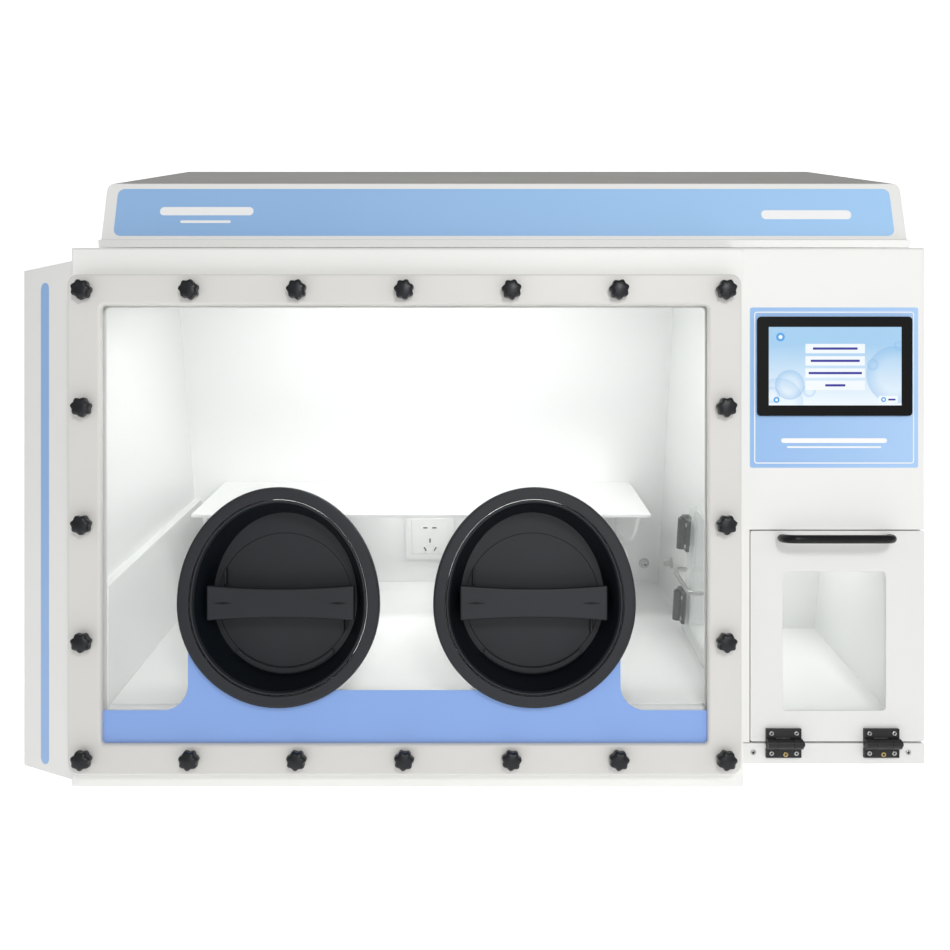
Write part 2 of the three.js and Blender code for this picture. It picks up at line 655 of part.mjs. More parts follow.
// Turning handle: a disc on the cup's floor, a waisted bridge bar and two cam fins.
function portHandle() {
  const discBack = DOOR_DEPTH - DOOR_RIM - DOOR_WALL - GAP;
  const discFront = discBack - DISC_THICK;
  const disc = rod('y', DISC_RADIUS, DISC_THICK, DISC_STEPS).translate([0, (discBack + discFront) / 2, 0]);
  const end = BAR_END_HEIGHT / 2;
  const waist = BAR_WAIST_HEIGHT / 2;
  const bar = new THREE.Shape();
  bar.moveTo(-BAR_HALF, -end);
  bar.quadraticCurveTo(0, end - 2 * waist, BAR_HALF, -end);
  bar.lineTo(BAR_HALF, end);
  bar.quadraticCurveTo(0, 2 * waist - end, -BAR_HALF, end);
  bar.closePath();
  const barBack = discFront - BAR_STANDOFF;
  const barFront = barBack - BAR_THICK;
  const bridge = slab(bar, barFront, barBack, BAR_CURVE_STEPS);
  const footEnd = DISC_RADIUS - 6;
  const footHalf = end - 4;
  const foot = () => box(footEnd - BAR_FOOT, footEnd, barBack - 1, discFront + 1, -footHalf, footHalf);
  const finStart = DISC_RADIUS - FIN.inset;
  const fin = () => box(
    finStart, finStart + FIN.thick, discFront - FIN.proud, discFront + 1, -FIN.reach, -footHalf - 2,
  );
  return disc
    .add(bridge)
    .add(foot())
    .add(foot().rotate([0, 180, 0]))
    .add(fin())
    .add(fin().rotate([0, 180, 0]));
}

for (const [side, x] of Object.entries(portCentres)) {
  const pieces = [
    add(mainFace, `port_ring_${side}`, portRing(), 'blackPlastic'),
    add(mainFace, `port_door_${side}`, portDoor(), 'blackPlastic'),
    add(mainFace, `port_handle_${side}`, portHandle(), 'blackPlastic'),
  ];
  pieces.forEach((piece) => piece.position.set(x, 0, PORT_S));
}

// ---------------------------------------------------------------- hinges

// One leaf, with the pin on local X and the leaf on the local +Z side. The outer leaf has
// the two end knuckles and the inner leaf the middle one. A spacer thickens it behind.
function hingeLeaf(which, spacer = 0) {
  const half = HINGE_WIDE / 2;
  const [near, far] = HINGE_LEAF;
  const spans = which === 'outer'
    ? [[-half, -HINGE_MIDDLE - GAP], [HINGE_MIDDLE + GAP, half]]
    : [[-HINGE_MIDDLE, HINGE_MIDDLE]];
  let leaf = box(-half, half, near, far + spacer, HINGE_CLEAR, HINGE_REACH);
  for (const [from, to] of spans) {
    const barrel = rod('x', HINGE_BARREL, to - from, HINGE_SIDES);
    leaf = leaf
      .add(barrel.translate([(from + to) / 2, 0, 0]))
      .add(box(from, to, near, far, 0, HINGE_CLEAR + 1));
  }
  return leaf;
}

// A bar that leaves the face, bends, runs across and bends back, along local X.
function bowHandle(half, radius, standoff, bend, foot) {
  const out = -standoff;
  const at = (x, y) => new THREE.Vector3(x, y, 0);
  const path = new THREE.CurvePath();
  path.add(new THREE.LineCurve3(at(-half, foot), at(-half, out + bend)));
  path.add(new THREE.QuadraticBezierCurve3(at(-half, out + bend), at(-half, out), at(bend - half, out)));
  path.add(new THREE.LineCurve3(at(bend - half, out), at(half - bend, out)));
  path.add(new THREE.QuadraticBezierCurve3(at(half - bend, out), at(half, out), at(half, out + bend)));
  path.add(new THREE.LineCurve3(at(half, out + bend), at(half, foot)));
  const section = new THREE.Shape();
  section.absarc(0, 0, radius, 0, 2 * Math.PI);
  return solidOf(new THREE.ExtrudeGeometry(section, {
    steps: TUBE_STEPS,
    curveSegments: TUBE_HALF_SIDES,
    extrudePath: path,
  }));
}

// ---------------------------------------------------------------- airlock door

function airlockDoor() {
  const glass = DOOR_GLASS;
  const lap = DOOR_GLASS_LAP + 1;
  const window = roundedRectangle(glass.left, glass.right, glass.low, glass.high, OPENING_CORNER);
  const rebate = roundedRectangle(
    glass.left - lap, glass.right + lap, glass.low - lap, glass.high + lap, 1,
  );
  return slab(roundedRectangle(DOOR_LEFT, DOOR_RIGHT, DOOR_BOTTOM, DOOR_TOP, 3), 0, DOOR_THICK)
    .subtract(slab(window, -1, DOOR_THICK + 1))
    .subtract(slab(rebate, DOOR_THICK - DOOR_GLASS_THICK - 2 * GAP, DOOR_THICK + 1));
}

function airlockGlass() {
  const glass = DOOR_GLASS;
  const lap = DOOR_GLASS_LAP;
  const outline = roundedRectangle(
    glass.left - lap, glass.right + lap, glass.low - lap, glass.high + lap, 1,
  );
  return slab(outline, DOOR_THICK - DOOR_GLASS_THICK - GAP, DOOR_THICK - GAP);
}

function airlockSeal() {
  const ring = (grow) => roundedRectangle(
    MOUTH.left - grow, MOUTH.right + grow, MOUTH.low - grow, MOUTH.high + grow, OPENING_CORNER + grow,
  );
  const front = DOOR_THICK + GAP;
  const back = DOOR_RECESS - GAP;
  return slab(ring(SEAL_WIDE), front, back).subtract(slab(ring(0), front - 1, back + 1));
}

add(columnFace, 'airlock_door', airlockDoor(), 'powderWhite');
add(columnFace, 'airlock_door_glass', airlockGlass(), 'clear');
add(columnFace, 'airlock_door_seal', airlockSeal(), 'rubber');
const pull = add(
  columnFace, 'airlock_door_handle',
  bowHandle(PULL_HALF, PULL_RADIUS, PULL_STANDOFF, PULL_BEND, -GAP), 'blackPlastic',
);
pull.position.set(PULL_X, 0, PULL_S);

const strip = roundedRectangle(CASE_RIGHT + 2 * GAP, DOOR_RIGHT, GAP, STRIP_TOP, 2);
add(columnFace, 'hinge_strip', slab(strip, 0, DOOR_RECESS - GAP), 'powderWhite');
DOOR_HINGE_X.forEach((x, i) => {
  const upper = add(columnFace, `airlock_hinge_${i + 1}_upper`, hingeLeaf('outer'), 'blackMetal');
  upper.position.set(x, -HINGE_PROUD, DOOR_HINGE_S);
  const lower = hingeLeaf('inner').rotate([0, 180, 0]);
  const fixed = add(columnFace, `airlock_hinge_${i + 1}_lower`, lower, 'blackMetal');
  fixed.position.set(x, -HINGE_PROUD, DOOR_HINGE_S);
});

// ---------------------------------------------------------------- touch screen

function touchScreen() {
  const bezel = roundedRectangle(SCREEN.left, SCREEN.right, SCREEN.low, SCREEN.high, SCREEN_CORNER);
  const body = box(
    SCREEN.left + SCREEN_BORDER, SCREEN.right - SCREEN_BORDER, -1, SCREEN_BODY_DEPTH,
    SCREEN.low + SCREEN_BORDER, SCREEN.high - SCREEN_BORDER,
  );
  return slab(bezel, -SCREEN_PROUD, -GAP).add(body);
}

add(columnFace, 'touch_screen', touchScreen(), 'screen');

// ---------------------------------------------------------------- inner airlock door

const innerBack = CHAMBER.right - GAP;
const innerFront = innerBack - INNER_DOOR_THICK;
add(gloveBox, 'inner_door', doorwayBlock(INNER_DOOR_LAP, innerFront, innerBack), 'clear');

// Pieces drawn as on a sloped face, turned so that they stand on the right-hand wall.
const wallFace = new THREE.Group();
const wallTurn = new THREE.Matrix4().makeBasis(
  new THREE.Vector3(0, 0, 1), new THREE.Vector3(1, 0, 0), new THREE.Vector3(0, 1, 0),
);
wallFace.rotation.setFromRotationMatrix(wallTurn);
wallFace.position.set(innerFront, 0, 0);
gloveBox.add(wallFace);

INNER_HINGE_Z.forEach((z, i) => {
  const onDoor = hingeLeaf('outer').rotate([0, 180, 0]);
  const moving = add(wallFace, `inner_hinge_${i + 1}_door`, onDoor, 'blackMetal');
  moving.position.set(z, -HINGE_PROUD, INNER_HINGE_Y);
  const onWall = hingeLeaf('inner', INNER_DOOR_THICK);
  const fixed = add(wallFace, `inner_hinge_${i + 1}_wall`, onWall, 'blackMetal');
  fixed.position.set(z, -HINGE_PROUD, INNER_HINGE_Y);
});

const innerPull = bowHandle(
  INNER_PULL_HALF, INNER_PULL_RADIUS, INNER_PULL_STANDOFF, INNER_PULL_BEND, -GAP,
);
const innerHandle = add(wallFace, 'inner_door_handle', innerPull.rotate([0, 90, 0]), 'steel');
innerHandle.position.set(INNER_PULL_Z, 0, INNER_PULL_Y);

export default gloveBox;
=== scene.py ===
import json
import math

import bmesh
import bpy
from mathutils import Matrix, Vector


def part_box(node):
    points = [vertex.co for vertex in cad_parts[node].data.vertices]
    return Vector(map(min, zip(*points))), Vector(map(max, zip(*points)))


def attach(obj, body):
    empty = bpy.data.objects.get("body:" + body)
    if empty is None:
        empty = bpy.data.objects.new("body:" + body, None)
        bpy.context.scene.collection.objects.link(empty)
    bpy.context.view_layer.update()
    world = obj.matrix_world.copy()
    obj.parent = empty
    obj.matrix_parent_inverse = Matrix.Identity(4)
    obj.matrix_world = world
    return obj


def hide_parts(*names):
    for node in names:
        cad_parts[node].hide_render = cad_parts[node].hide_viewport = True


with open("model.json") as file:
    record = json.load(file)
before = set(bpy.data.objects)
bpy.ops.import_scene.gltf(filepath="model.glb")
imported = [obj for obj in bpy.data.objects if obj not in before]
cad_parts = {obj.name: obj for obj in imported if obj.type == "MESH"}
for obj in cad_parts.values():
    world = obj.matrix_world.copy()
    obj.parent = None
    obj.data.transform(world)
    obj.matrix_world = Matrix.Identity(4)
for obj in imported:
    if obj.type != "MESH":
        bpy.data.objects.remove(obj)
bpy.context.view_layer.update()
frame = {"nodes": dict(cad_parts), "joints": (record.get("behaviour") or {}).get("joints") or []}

# ---------------------------------------------------------------- camera
# It stands square to the sloped window, at eye height, just far enough back to take in the
# whole box. The slope is the one that the window lifts off along.
window_slide = next(joint for joint in frame["joints"] if joint["name"] == "window_lift_off")
outward = Vector(window_slide["axis"])
lean = math.atan2(outward.z, -outward.y)

STANDING_AT = (0.008, -1.38, 0.719)
LENS_MM = 34.1
camera = bpy.data.objects.new("camera", bpy.data.cameras.new("camera"))
camera.location = STANDING_AT
camera.rotation_euler = (math.pi / 2 - lean, 0, 0)
camera.data.lens = LENS_MM
camera.data.sensor_width = 36
bpy.context.collection.objects.link(camera)
bpy.context.scene.camera = camera
bpy.context.scene.view_settings.view_transform = "Standard"

# ---------------------------------------------------------------- studio
# A pale floor that curves up into a pale wall, in a bright white room. A small key light high
# in front throws the short shadows, and wide softboxes fill in from the front and both sides.
SWEEP_WIDTH = 8
SWEEP_FRONT = -4
SWEEP_BACK = 2.2
SWEEP_RADIUS = 1.6
SWEEP_TOP = 5
SWEEP_GLOW = 0.55
ROOM_LIGHT = 0.37


def put(tree, kind, inputs=None, **settings):
    """A new node. Each input takes a value, or a socket that is linked to it."""
    node = tree.nodes.new(kind)
    for key, value in settings.items():
        setattr(node, key, value)
    for key, value in (inputs or {}).items():
        if isinstance(value, bpy.types.NodeSocket):
            tree.links.new(value, node.inputs[key])
        else:
            node.inputs[key].default_value = value
    return node


def new_material(name, **sockets):
    """A material with one Principled shader, and its node tree and shader."""
    material = bpy.data.materials.new(name)
    material.use_nodes = True
    shader = material.node_tree.nodes["Principled BSDF"]
    for key, value in sockets.items():
        shader.inputs[key.replace("_", " ")].default_value = value
    return material, material.node_tree, shader


def new_object(form, name, materials):
    """The bmesh as a linked object, smooth but for its sharp edges."""
    mesh = bpy.data.meshes.new(name)
    form.to_mesh(mesh)
    form.free()
    mesh.shade_smooth()
    mesh.set_sharp_from_angle(angle=math.radians(50))
    for material in materials:
        mesh.materials.append(material)
    thing = bpy.data.objects.new(name, mesh)
    bpy.context.collection.objects.link(thing)
    return thing


paper, paper_tree, paper_shader = new_material("studio_paper", Roughness=0.9)
paper_place = put(paper_tree, "ShaderNodeTexCoord")
paper_noise = put(
    paper_tree, "ShaderNodeTexNoise", {"Vector": paper_place.outputs["Object"], "Scale": 3.0}
)
paper_tone = put(paper_tree, "ShaderNodeMapRange", {
    "Value": paper_noise.outputs["Fac"], "To Min": 0.93, "To Max": 0.95,
})
paper_tree.links.new(paper_tone.outputs["Result"], paper_shader.inputs["Base Color"])
paper_shader.inputs["Emission Color"].default_value = (1, 1, 1, 1)
paper_shader.inputs["Emission Strength"].default_value = SWEEP_GLOW

sweep = bmesh.new()
line = [sweep.verts.new((x, SWEEP_FRONT, 0)) for x in (-SWEEP_WIDTH / 2, SWEEP_WIDTH / 2)]
front_edge = sweep.edges.new(line)


def drawn_out(form, edge, move):
    """The far edge after a sheet is drawn out of an edge."""
    result = bmesh.ops.extrude_edge_only(form, edges=[edge])["geom"]
    verts = [item for item in result if isinstance(item, bmesh.types.BMVert)]
    bmesh.ops.translate(form, vec=move, verts=verts)
    return next(item for item in result if isinstance(item, bmesh.types.BMEdge)
                and all(vert in verts for vert in item.verts))


bend_start = drawn_out(sweep, front_edge, (0, SWEEP_BACK - SWEEP_FRONT, 0))
bend = bmesh.ops.spin(
    sweep, geom=[bend_start, *bend_start.verts], axis=(1, 0, 0), cent=(0, SWEEP_BACK, SWEEP_RADIUS),
    angle=math.pi / 2, steps=16,
)
bend_end = next(item for item in bend["geom_last"] if isinstance(item, bmesh.types.BMEdge))
drawn_out(sweep, bend_end, (0, 0, SWEEP_TOP))
bmesh.ops.recalc_face_normals(sweep, faces=sweep.faces)
new_object(sweep, "studio_sweep", [paper])

# The room past the paper looks white, but lights the box less than that.
world = bpy.data.worlds.new("white_room")
bpy.context.scene.world = world
world.use_nodes = True
room = world.node_tree.nodes["Background"]
room.inputs["Color"].default_value = (1, 1, 1, 1)
room_seen = put(world.node_tree, "ShaderNodeLightPath").outputs["Is Camera Ray"]
room_strength = put(world.node_tree, "ShaderNodeMapRange", {
    "Value": room_seen, "To Min": ROOM_LIGHT, "To Max": 1.0,
})
world.node_tree.links.new(room_strength.outputs["Result"], room.inputs["Strength"])


def square_light(name, place, size, power):
    """A square lamp that points straight down."""
    light = bpy.data.objects.new(name, bpy.data.lights.new(name, "AREA"))
    light.data.shape = "SQUARE"
    light.data.size = size
    light.data.energy = power
    light.location = place
    bpy.context.collection.objects.link(light)
    return light


LIT_POINT = Vector((0, -0.1, 0.4))
for name, place, size, power in (
    ("softbox_left", (-2.0, -2.2, 2.6), 1.8, 4),
    ("softbox_right", (2.4, -2.0, 1.6), 1.4, 5),
    ("softbox_front", (0.3, -3.2, 1.2), 1.2, 12),
    ("key", (0.55, -2.3, 2.2), 0.5, 24),
):
    light = square_light(name, place, size, power)
    aim = LIT_POINT - Vector(place)
    light.rotation_euler = aim.to_track_quat("-Z", "Y").to_euler()

# Two small lamps, out of the camera's sight, lift the shade in the airlock and under the shelf.
for name, place, size, power in (
    ("airlock_fill", (0.485, -0.02, 0.330), 0.12, 0.20),
    ("shelf_fill", (-0.080, 0.06, 0.298), 0.20, 0.20),
):
    light = square_light(name, place, size, power)
    light.visible_camera = False
    light.visible_glossy = False

# ---------------------------------------------------------------- main case
# Folded steel sheet with a fine-textured white powder coat: the sloped front carries the
# window, and the folds have small soft radii.
case_low, case_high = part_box("main_case")
FOLD = 0.004
EDGE = 0.0006
FLAT_ENOUGH = math.radians(1)
SHARP_ENOUGH = math.radians(32)


def face_frame(origin):
    """A sloped face's own frame: x across, y into the face and z up its slope."""
    up_slope = Vector((0, outward.z, -outward.y))
    turn = Matrix((Vector((1, 0, 0)), -outward, up_slope)).transposed().to_4x4()
    return Matrix.Translation(origin) @ turn


main_face = face_frame(Vector((0, case_low.y, case_low.z)))
upright = Matrix.Identity(4)


def lies(edge, face, **wanted):
    """Whether both ends of an edge have these places in a face's frame."""
    inverse = face.inverted()
    ends = [dict(zip("xyz", inverse @ vert.co)) for vert in edge.verts]
    return all(abs(end[key] - value) < 3e-4 for end in ends for key, value in wanted.items())


def rounded(form, edges, radius, segments=2):
    """The chosen edges rounded off."""
    bmesh.ops.bevel(
        form, geom=list(edges), offset=radius, offset_type="OFFSET", affect="EDGES",
        segments=segments, profile=0.5, material=-1, clamp_overlap=True,
    )


def whole_faces(form):
    """Triangles that lie in one plane merged into whole flat faces."""
    bmesh.ops.dissolve_limit(form, angle_limit=FLAT_ENOUGH, verts=form.verts, edges=form.edges)


def finished_copy(node, *folds, edge=EDGE, plugged=None):
    """A CAD node's shape with whole flat faces, its folds rounded and its sharp edges eased.
    Each fold is a radius and a test of an edge. Holes are filled where plugged, a test of a
    face, finds their walls."""
    form = bmesh.new()
    form.from_mesh(frame["nodes"][node].data)
    bmesh.ops.remove_doubles(form, verts=form.verts, dist=1e-5)
    whole_faces(form)
    if plugged:
        walls = [face for face in form.faces if plugged(face)]
        bmesh.ops.delete(form, geom=walls, context="FACES")
        bmesh.ops.holes_fill(form, edges=[e for e in form.edges if e.is_boundary], sides=0)
        whole_faces(form)
    for radius, test in folds:
        rounded(form, [e for e in form.edges if test(e)], radius, 4)
    if edge:
        creases = [e for e in form.edges if e.is_manifold and e.calc_face_angle() > SHARP_ENOUGH]
        rounded(form, creases, edge)
    return form


def piece(form, name, materials, body, stands_for=()):
    """A finished piece that rides on a body, with weighted normals for its flat faces."""
    thing = new_object(form, name, materials)
    normals = thing.modifiers.new("normals", "WEIGHTED_NORMAL")
    normals.keep_sharp = True
    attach(thing, body)
    if stands_for:
        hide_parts(*stands_for)
    return thing


def cover(node, name, material, slot, *folds, edge=EDGE, body="case"):
    """A finished piece of one material that is shaped as its CAD node is."""
    return piece(finished_copy(node, *folds, edge=edge), name, [material], body, [node])


def shader_group(name, inputs, outputs):
    """An empty node group, with its input and output nodes."""
    tree = bpy.data.node_groups.new(name, "ShaderNodeTree")
    for label, kind, value in inputs:
        socket = tree.interface.new_socket(label, in_out="INPUT", socket_type=kind)
        socket.default_value = value
    for label, kind in outputs:
        tree.interface.new_socket(label, in_out="OUTPUT", socket_type=kind)
    return tree, put(tree, "NodeGroupInput"), put(tree, "NodeGroupOutput")


COLOUR, VALUE, VECTOR = "NodeSocketColor", "NodeSocketFloat", "NodeSocketVector"
surface, given, made = shader_group("moulded_surface", (
    ("Colour", COLOUR, (0.8, 0.8, 0.8, 1)), ("Shade", VALUE, 0.04), ("Patch", VALUE, 4.0),
    ("Grain", VALUE, 900.0), ("Height", VALUE, 0.00002), ("Rough", VALUE, 0.45),
    ("Rough Spread", VALUE, 0.1),
), (("Colour", COLOUR), ("Roughness", VALUE), ("Normal", VECTOR)))
where = put(surface, "ShaderNodeTexCoord").outputs["Object"]
grain = put(surface, "ShaderNodeTexNoise", {
    "Vector": where, "Scale": given.outputs["Grain"], "Detail": 2.0,
})
patches = put(surface, "ShaderNodeTexNoise", {
    "Vector": where, "Scale": given.outputs["Patch"], "Detail": 4.0,
})
darkest = put(surface, "ShaderNodeMath", {0: 1.0, 1: given.outputs["Shade"]}, operation="SUBTRACT")
tone = put(surface, "ShaderNodeMapRange", {
    "Value": patches.outputs["Fac"], "From Min": 0.3, "From Max": 0.7,
    "To Min": darkest.outputs["Value"], "To Max": 1.0,
})
toned = put(surface, "ShaderNodeHueSaturation", {
    "Color": given.outputs["Colour"], "Value": tone.outputs["Result"],
})
swing = put(surface, "ShaderNodeMath", {
    0: patches.outputs["Fac"], 1: 0.5,
}, operation="SUBTRACT")
rough = put(surface, "ShaderNodeMath", {
    0: swing.outputs["Value"], 1: given.outputs["Rough Spread"], 2: given.outputs["Rough"],
}, operation="MULTIPLY_ADD")
bumps = put(surface, "ShaderNodeBump", {
    "Strength": 1.0, "Distance": given.outputs["Height"], "Height": grain.outputs["Fac"],
})
surface.links.new(toned.outputs["Color"], made.inputs["Colour"])
surface.links.new(rough.outputs["Value"], made.inputs["Roughness"])
surface.links.new(bumps.outputs["Normal"], made.inputs["Normal"])


def coated(name, colour, sockets=None, **grain_values):
    """A material whose colour, gloss and fine bumps come from the moulded surface group."""
    material, tree, shader = new_material(name, **(sockets or {}))
    values = {"Colour": (*colour, 1)}
    for key, value in grain_values.items():
        values[key.replace("_", " ").title()] = value
    node = put(tree, "ShaderNodeGroup", node_tree=surface)
    for key, value in values.items():
        if isinstance(value, bpy.types.NodeSocket):
            tree.links.new(value, node.inputs[key])
        else:
            node.inputs[key].default_value = value
    tree.links.new(node.outputs["Colour"], shader.inputs["Base Color"])
    tree.links.new(node.outputs["Roughness"], shader.inputs["Roughness"])
    tree.links.new(node.outputs["Normal"], shader.inputs["Normal"])
    return material


def group_in(tree):
    """The moulded surface group's node in a material."""
    return next(node for node in tree.nodes if node.type == "GROUP")


powder_coat = coated("powder_coat", (0.83, 0.83, 0.81), shade=0.035, grain=900.0, height=0.00003)

cover("main_case", "case_shell", powder_coat, "powder_white", (
    FOLD, lambda e: lies(e, main_face, x=case_low.x, y=0)
    or (lies(e, main_face, y=0) and lies(e, upright, z=case_high.z)),
))

# ---------------------------------------------------------------- left side cover
# A folded cover over the left side, with a chamfered front. A long blue printed strip with
# round ends runs up the middle of the chamfer.
cheek_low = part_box("left_side_cover")[0]
PRINT_THICK = 0.0003
SUNK = 0.0001                    # how far a print's back lies inside the coat

cover("left_side_cover", "side_cover_shell", powder_coat, "powder_white", edge=0.0012)


def plate(x, z, radius, front, back, steps=6, soften=0.0):
    """A rounded rectangle between two depths in a face's frame, with a softened front edge."""
    form = bmesh.new()
    corners = [form.verts.new((a, back, b)) for a, b in
               ((x[0], z[0]), (x[1], z[0]), (x[1], z[1]), (x[0], z[1]))]
    form.faces.new(corners)
    if radius:
        bmesh.ops.bevel(
            form, geom=corners, offset=radius, offset_type="OFFSET", affect="VERTICES",
            segments=steps, profile=0.5, material=-1, clamp_overlap=True,
        )
    thickened(form, front - back)
    if soften:
        rounded(form, [e for e in form.edges if lies(e, upright, y=front)], soften)
    return form


def thickened(form, depth):
    """A flat outline given a thickness along y and turned to face outwards."""
    result = bmesh.ops.extrude_face_region(form, geom=list(form.faces))["geom"]
    verts = [item for item in result if isinstance(item, bmesh.types.BMVert)]
    bmesh.ops.translate(form, vec=(0, depth, 0), verts=verts)
    bmesh.ops.recalc_face_normals(form, faces=form.faces)


def joined(*forms):
    """Several bmeshes as one."""
    whole = forms[0]
    for form in forms[1:]:
        carrier = bpy.data.meshes.new("carrier")
        form.to_mesh(carrier)
        form.free()
        whole.from_mesh(carrier)
        bpy.data.meshes.remove(carrier)
    return whole


def placed(form, matrix):
    """The form moved into a frame."""
    bmesh.ops.transform(form, matrix=matrix, verts=form.verts)
    return form


def coloured(form, index):
    """The form with all its faces on one material slot."""
    for face in form.faces:
        face.material_index = index
    return form


# The chamfer runs from the case's side to the cover's outer side.
CHAMFER_NEAR = 0.015
CHAMFER_FAR = 0.081
STRIP_WIDE = 0.019
STRIP_SHARE = 0.42               # how far across the chamfer the strip's middle is, from outside
STRIP_REACH = (0.013, 0.683)
chamfer = Vector((case_low.x - cheek_low.x, CHAMFER_NEAR - CHAMFER_FAR, 0))
chamfer_turn = Matrix.Rotation(math.atan2(chamfer.y, chamfer.x), 4, "Z")
chamfer_face = main_face @ Matrix.Translation((cheek_low.x, CHAMFER_FAR, 0)) @ chamfer_turn
strip_middle = chamfer.length * STRIP_SHARE
strip_span = (strip_middle - STRIP_WIDE / 2, strip_middle + STRIP_WIDE / 2)
strip_print = plate(strip_span, STRIP_REACH, STRIP_WIDE / 2 - 0.0002, -PRINT_THICK, SUNK, steps=10)
blue_print = coated(
    "blue_print", (0.29, 0.47, 0.78), shade=0.03, grain=300.0, height=0.00001, rough=0.35,
)
piece(
    placed(strip_print, chamfer_face), "side_cover_strip", [blue_print], "case",
)

# ---------------------------------------------------------------- hood
# A folded white cover over the controls. Its roof rises to the back, and its top is painted a
# dark grey as painted shade. A blue printed label fills most of its header face.
hood_low, hood_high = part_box("hood")
HOOD_FACE = ((-0.077, 0.727), (-0.034, 0.8045))
HOOD_CORNER = 0.009
HOOD_SHEET = 0.0025              # from the roof's outer side edges to its inner ones


def runs_along_roof(edge):
    """Whether an edge is one of the roof's two long sides, which run from front to back."""
    sides = (hood_low.x, hood_high.x, hood_low.x + HOOD_SHEET, hood_high.x - HOOD_SHEET)
    return (all(vert.co.z > HOOD_FACE[1][1] - 0.004 for vert in edge.verts)
            and any(lies(edge, upright, x=side) for side in sides)
            and abs(edge.verts[0].co.y - edge.verts[1].co.y) > 0.2)


hood_form = finished_copy("hood", (HOOD_CORNER, runs_along_roof), edge=0.0012)
# Painted shade: the roof's wide upward faces are coloured dark grey.
for face in hood_form.faces:
    middle = face.calc_center_median()
    if face.normal.z > 0.9 and face.calc_area() > 0.05 and middle.z > HOOD_FACE[1][1]:
        face.material_index = 1
roof_painted_shade = coated(
    "roof_painted_shade", (0.25, 0.245, 0.225), {"Metallic": 0.4}, shade=0.25, patch=7.0, grain=500.0,
    rough=0.55,
)
piece(hood_form, "hood_shell", [powder_coat, roof_painted_shade], "case", ["hood"])

# The label is a thin printed film; its blue is painted lighter to the right, as painted light.
header_slope = Vector((0, HOOD_FACE[1][0] - HOOD_FACE[0][0], HOOD_FACE[1][1] - HOOD_FACE[0][1]))
header_turn = Matrix.Rotation(-math.atan2(header_slope.y, header_slope.z), 4, "X")
header_face = Matrix.Translation((0, *HOOD_FACE[0])) @ header_turn
LABEL_SIDE = 0.0165
LABEL_FOOT = 0.006
LABEL_TOP = 0.0085
LABEL_CORNER = 0.010


def print_with_painted_light(name, start, end, left, right):
    """A printed film with painted light: its blue goes from one tone to another across the object.
    """
    material = coated(name, start, shade=0.03, patch=3.0, grain=300.0, height=0.00001, rough=0.32)
    tree = material.node_tree
    across = put(tree, "ShaderNodeSeparateXYZ", {
        "Vector": put(tree, "ShaderNodeTexCoord").outputs["Object"],
    })
    share = put(tree, "ShaderNodeMapRange", {
        "Value": across.outputs["X"], "From Min": left, "From Max": right,
    })
    blend = put(tree, "ShaderNodeMix", {
        "Factor": share.outputs["Result"], "A": (*start, 1), "B": (*end, 1),
    }, data_type="RGBA")
    mixed = next(socket for socket in blend.outputs if socket.type == "RGBA")
    tree.links.new(mixed, group_in(tree).inputs["Colour"])
    return material


header_blue = print_with_painted_light(
    "header_blue", (0.30, 0.50, 0.80), (0.38, 0.62, 0.92), hood_low.x + 0.3, hood_high.x,
)
white_print = coated("white_print", (0.9, 0.9, 0.9), shade=0.02, grain=300.0, height=0.00001)
label_x = (hood_low.x + LABEL_SIDE, hood_high.x - LABEL_SIDE)
label_z = (LABEL_FOOT, header_slope.length - LABEL_TOP)
marks = [plate(label_x, label_z, LABEL_CORNER, -PRINT_THICK, SUNK)]
for x, z in (
    ((-0.437, -0.305), (0.038, 0.051)), ((-0.407, -0.336), (0.026, 0.030)),
    ((0.412, 0.539), (0.032, 0.046)),
):
    marks.append(coloured(plate(x, z, (z[1] - z[0]) / 2.2, -2 * PRINT_THICK, 0), 1))
piece(
    placed(joined(*marks), header_face), "hood_label", [header_blue, white_print], "case",
)

# ---------------------------------------------------------------- column
# The airlock column is a folded cover of its own, coated like the case. A blue printed label
# with a white line round it frames the touch screen.
column_low, column_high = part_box("column_case")
column_face = face_frame(Vector((0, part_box("hinge_strip")[0].y, case_low.z)))

cover("column_case", "column_shell", powder_coat, "powder_white", (
    FOLD, lambda e: lies(e, column_face, x=column_high.x, y=0)
    or (lies(e, column_face, y=0) and lies(e, upright, z=column_high.z)),
))


def face_box(node, face):
    """A node's lowest and highest corner in a face's frame."""
    inverse = face.inverted()
    points = [inverse @ vert.co for vert in frame["nodes"][node].data.vertices]
    low = Vector([min(point[axis] for point in points) for axis in range(3)])
    high = Vector([max(point[axis] for point in points) for axis in range(3)])
    return low, high


def outline_ring(x, z, radius, width, front, back):
    """A thin rounded rectangle line."""
    form = plate(x, z, radius, front, back)
    face = next(f for f in form.faces if f.calc_center_median().y < (front + back) / 2
                and abs(f.normal.y) > 0.9)
    bmesh.ops.inset_region(form, faces=[face], thickness=width, use_even_offset=True)
    bmesh.ops.delete(form, geom=[face], context="FACES")
    rear = next(f for f in form.faces if f.normal.y > 0.9)
    bmesh.ops.delete(form, geom=[rear], context="FACES")
    return form


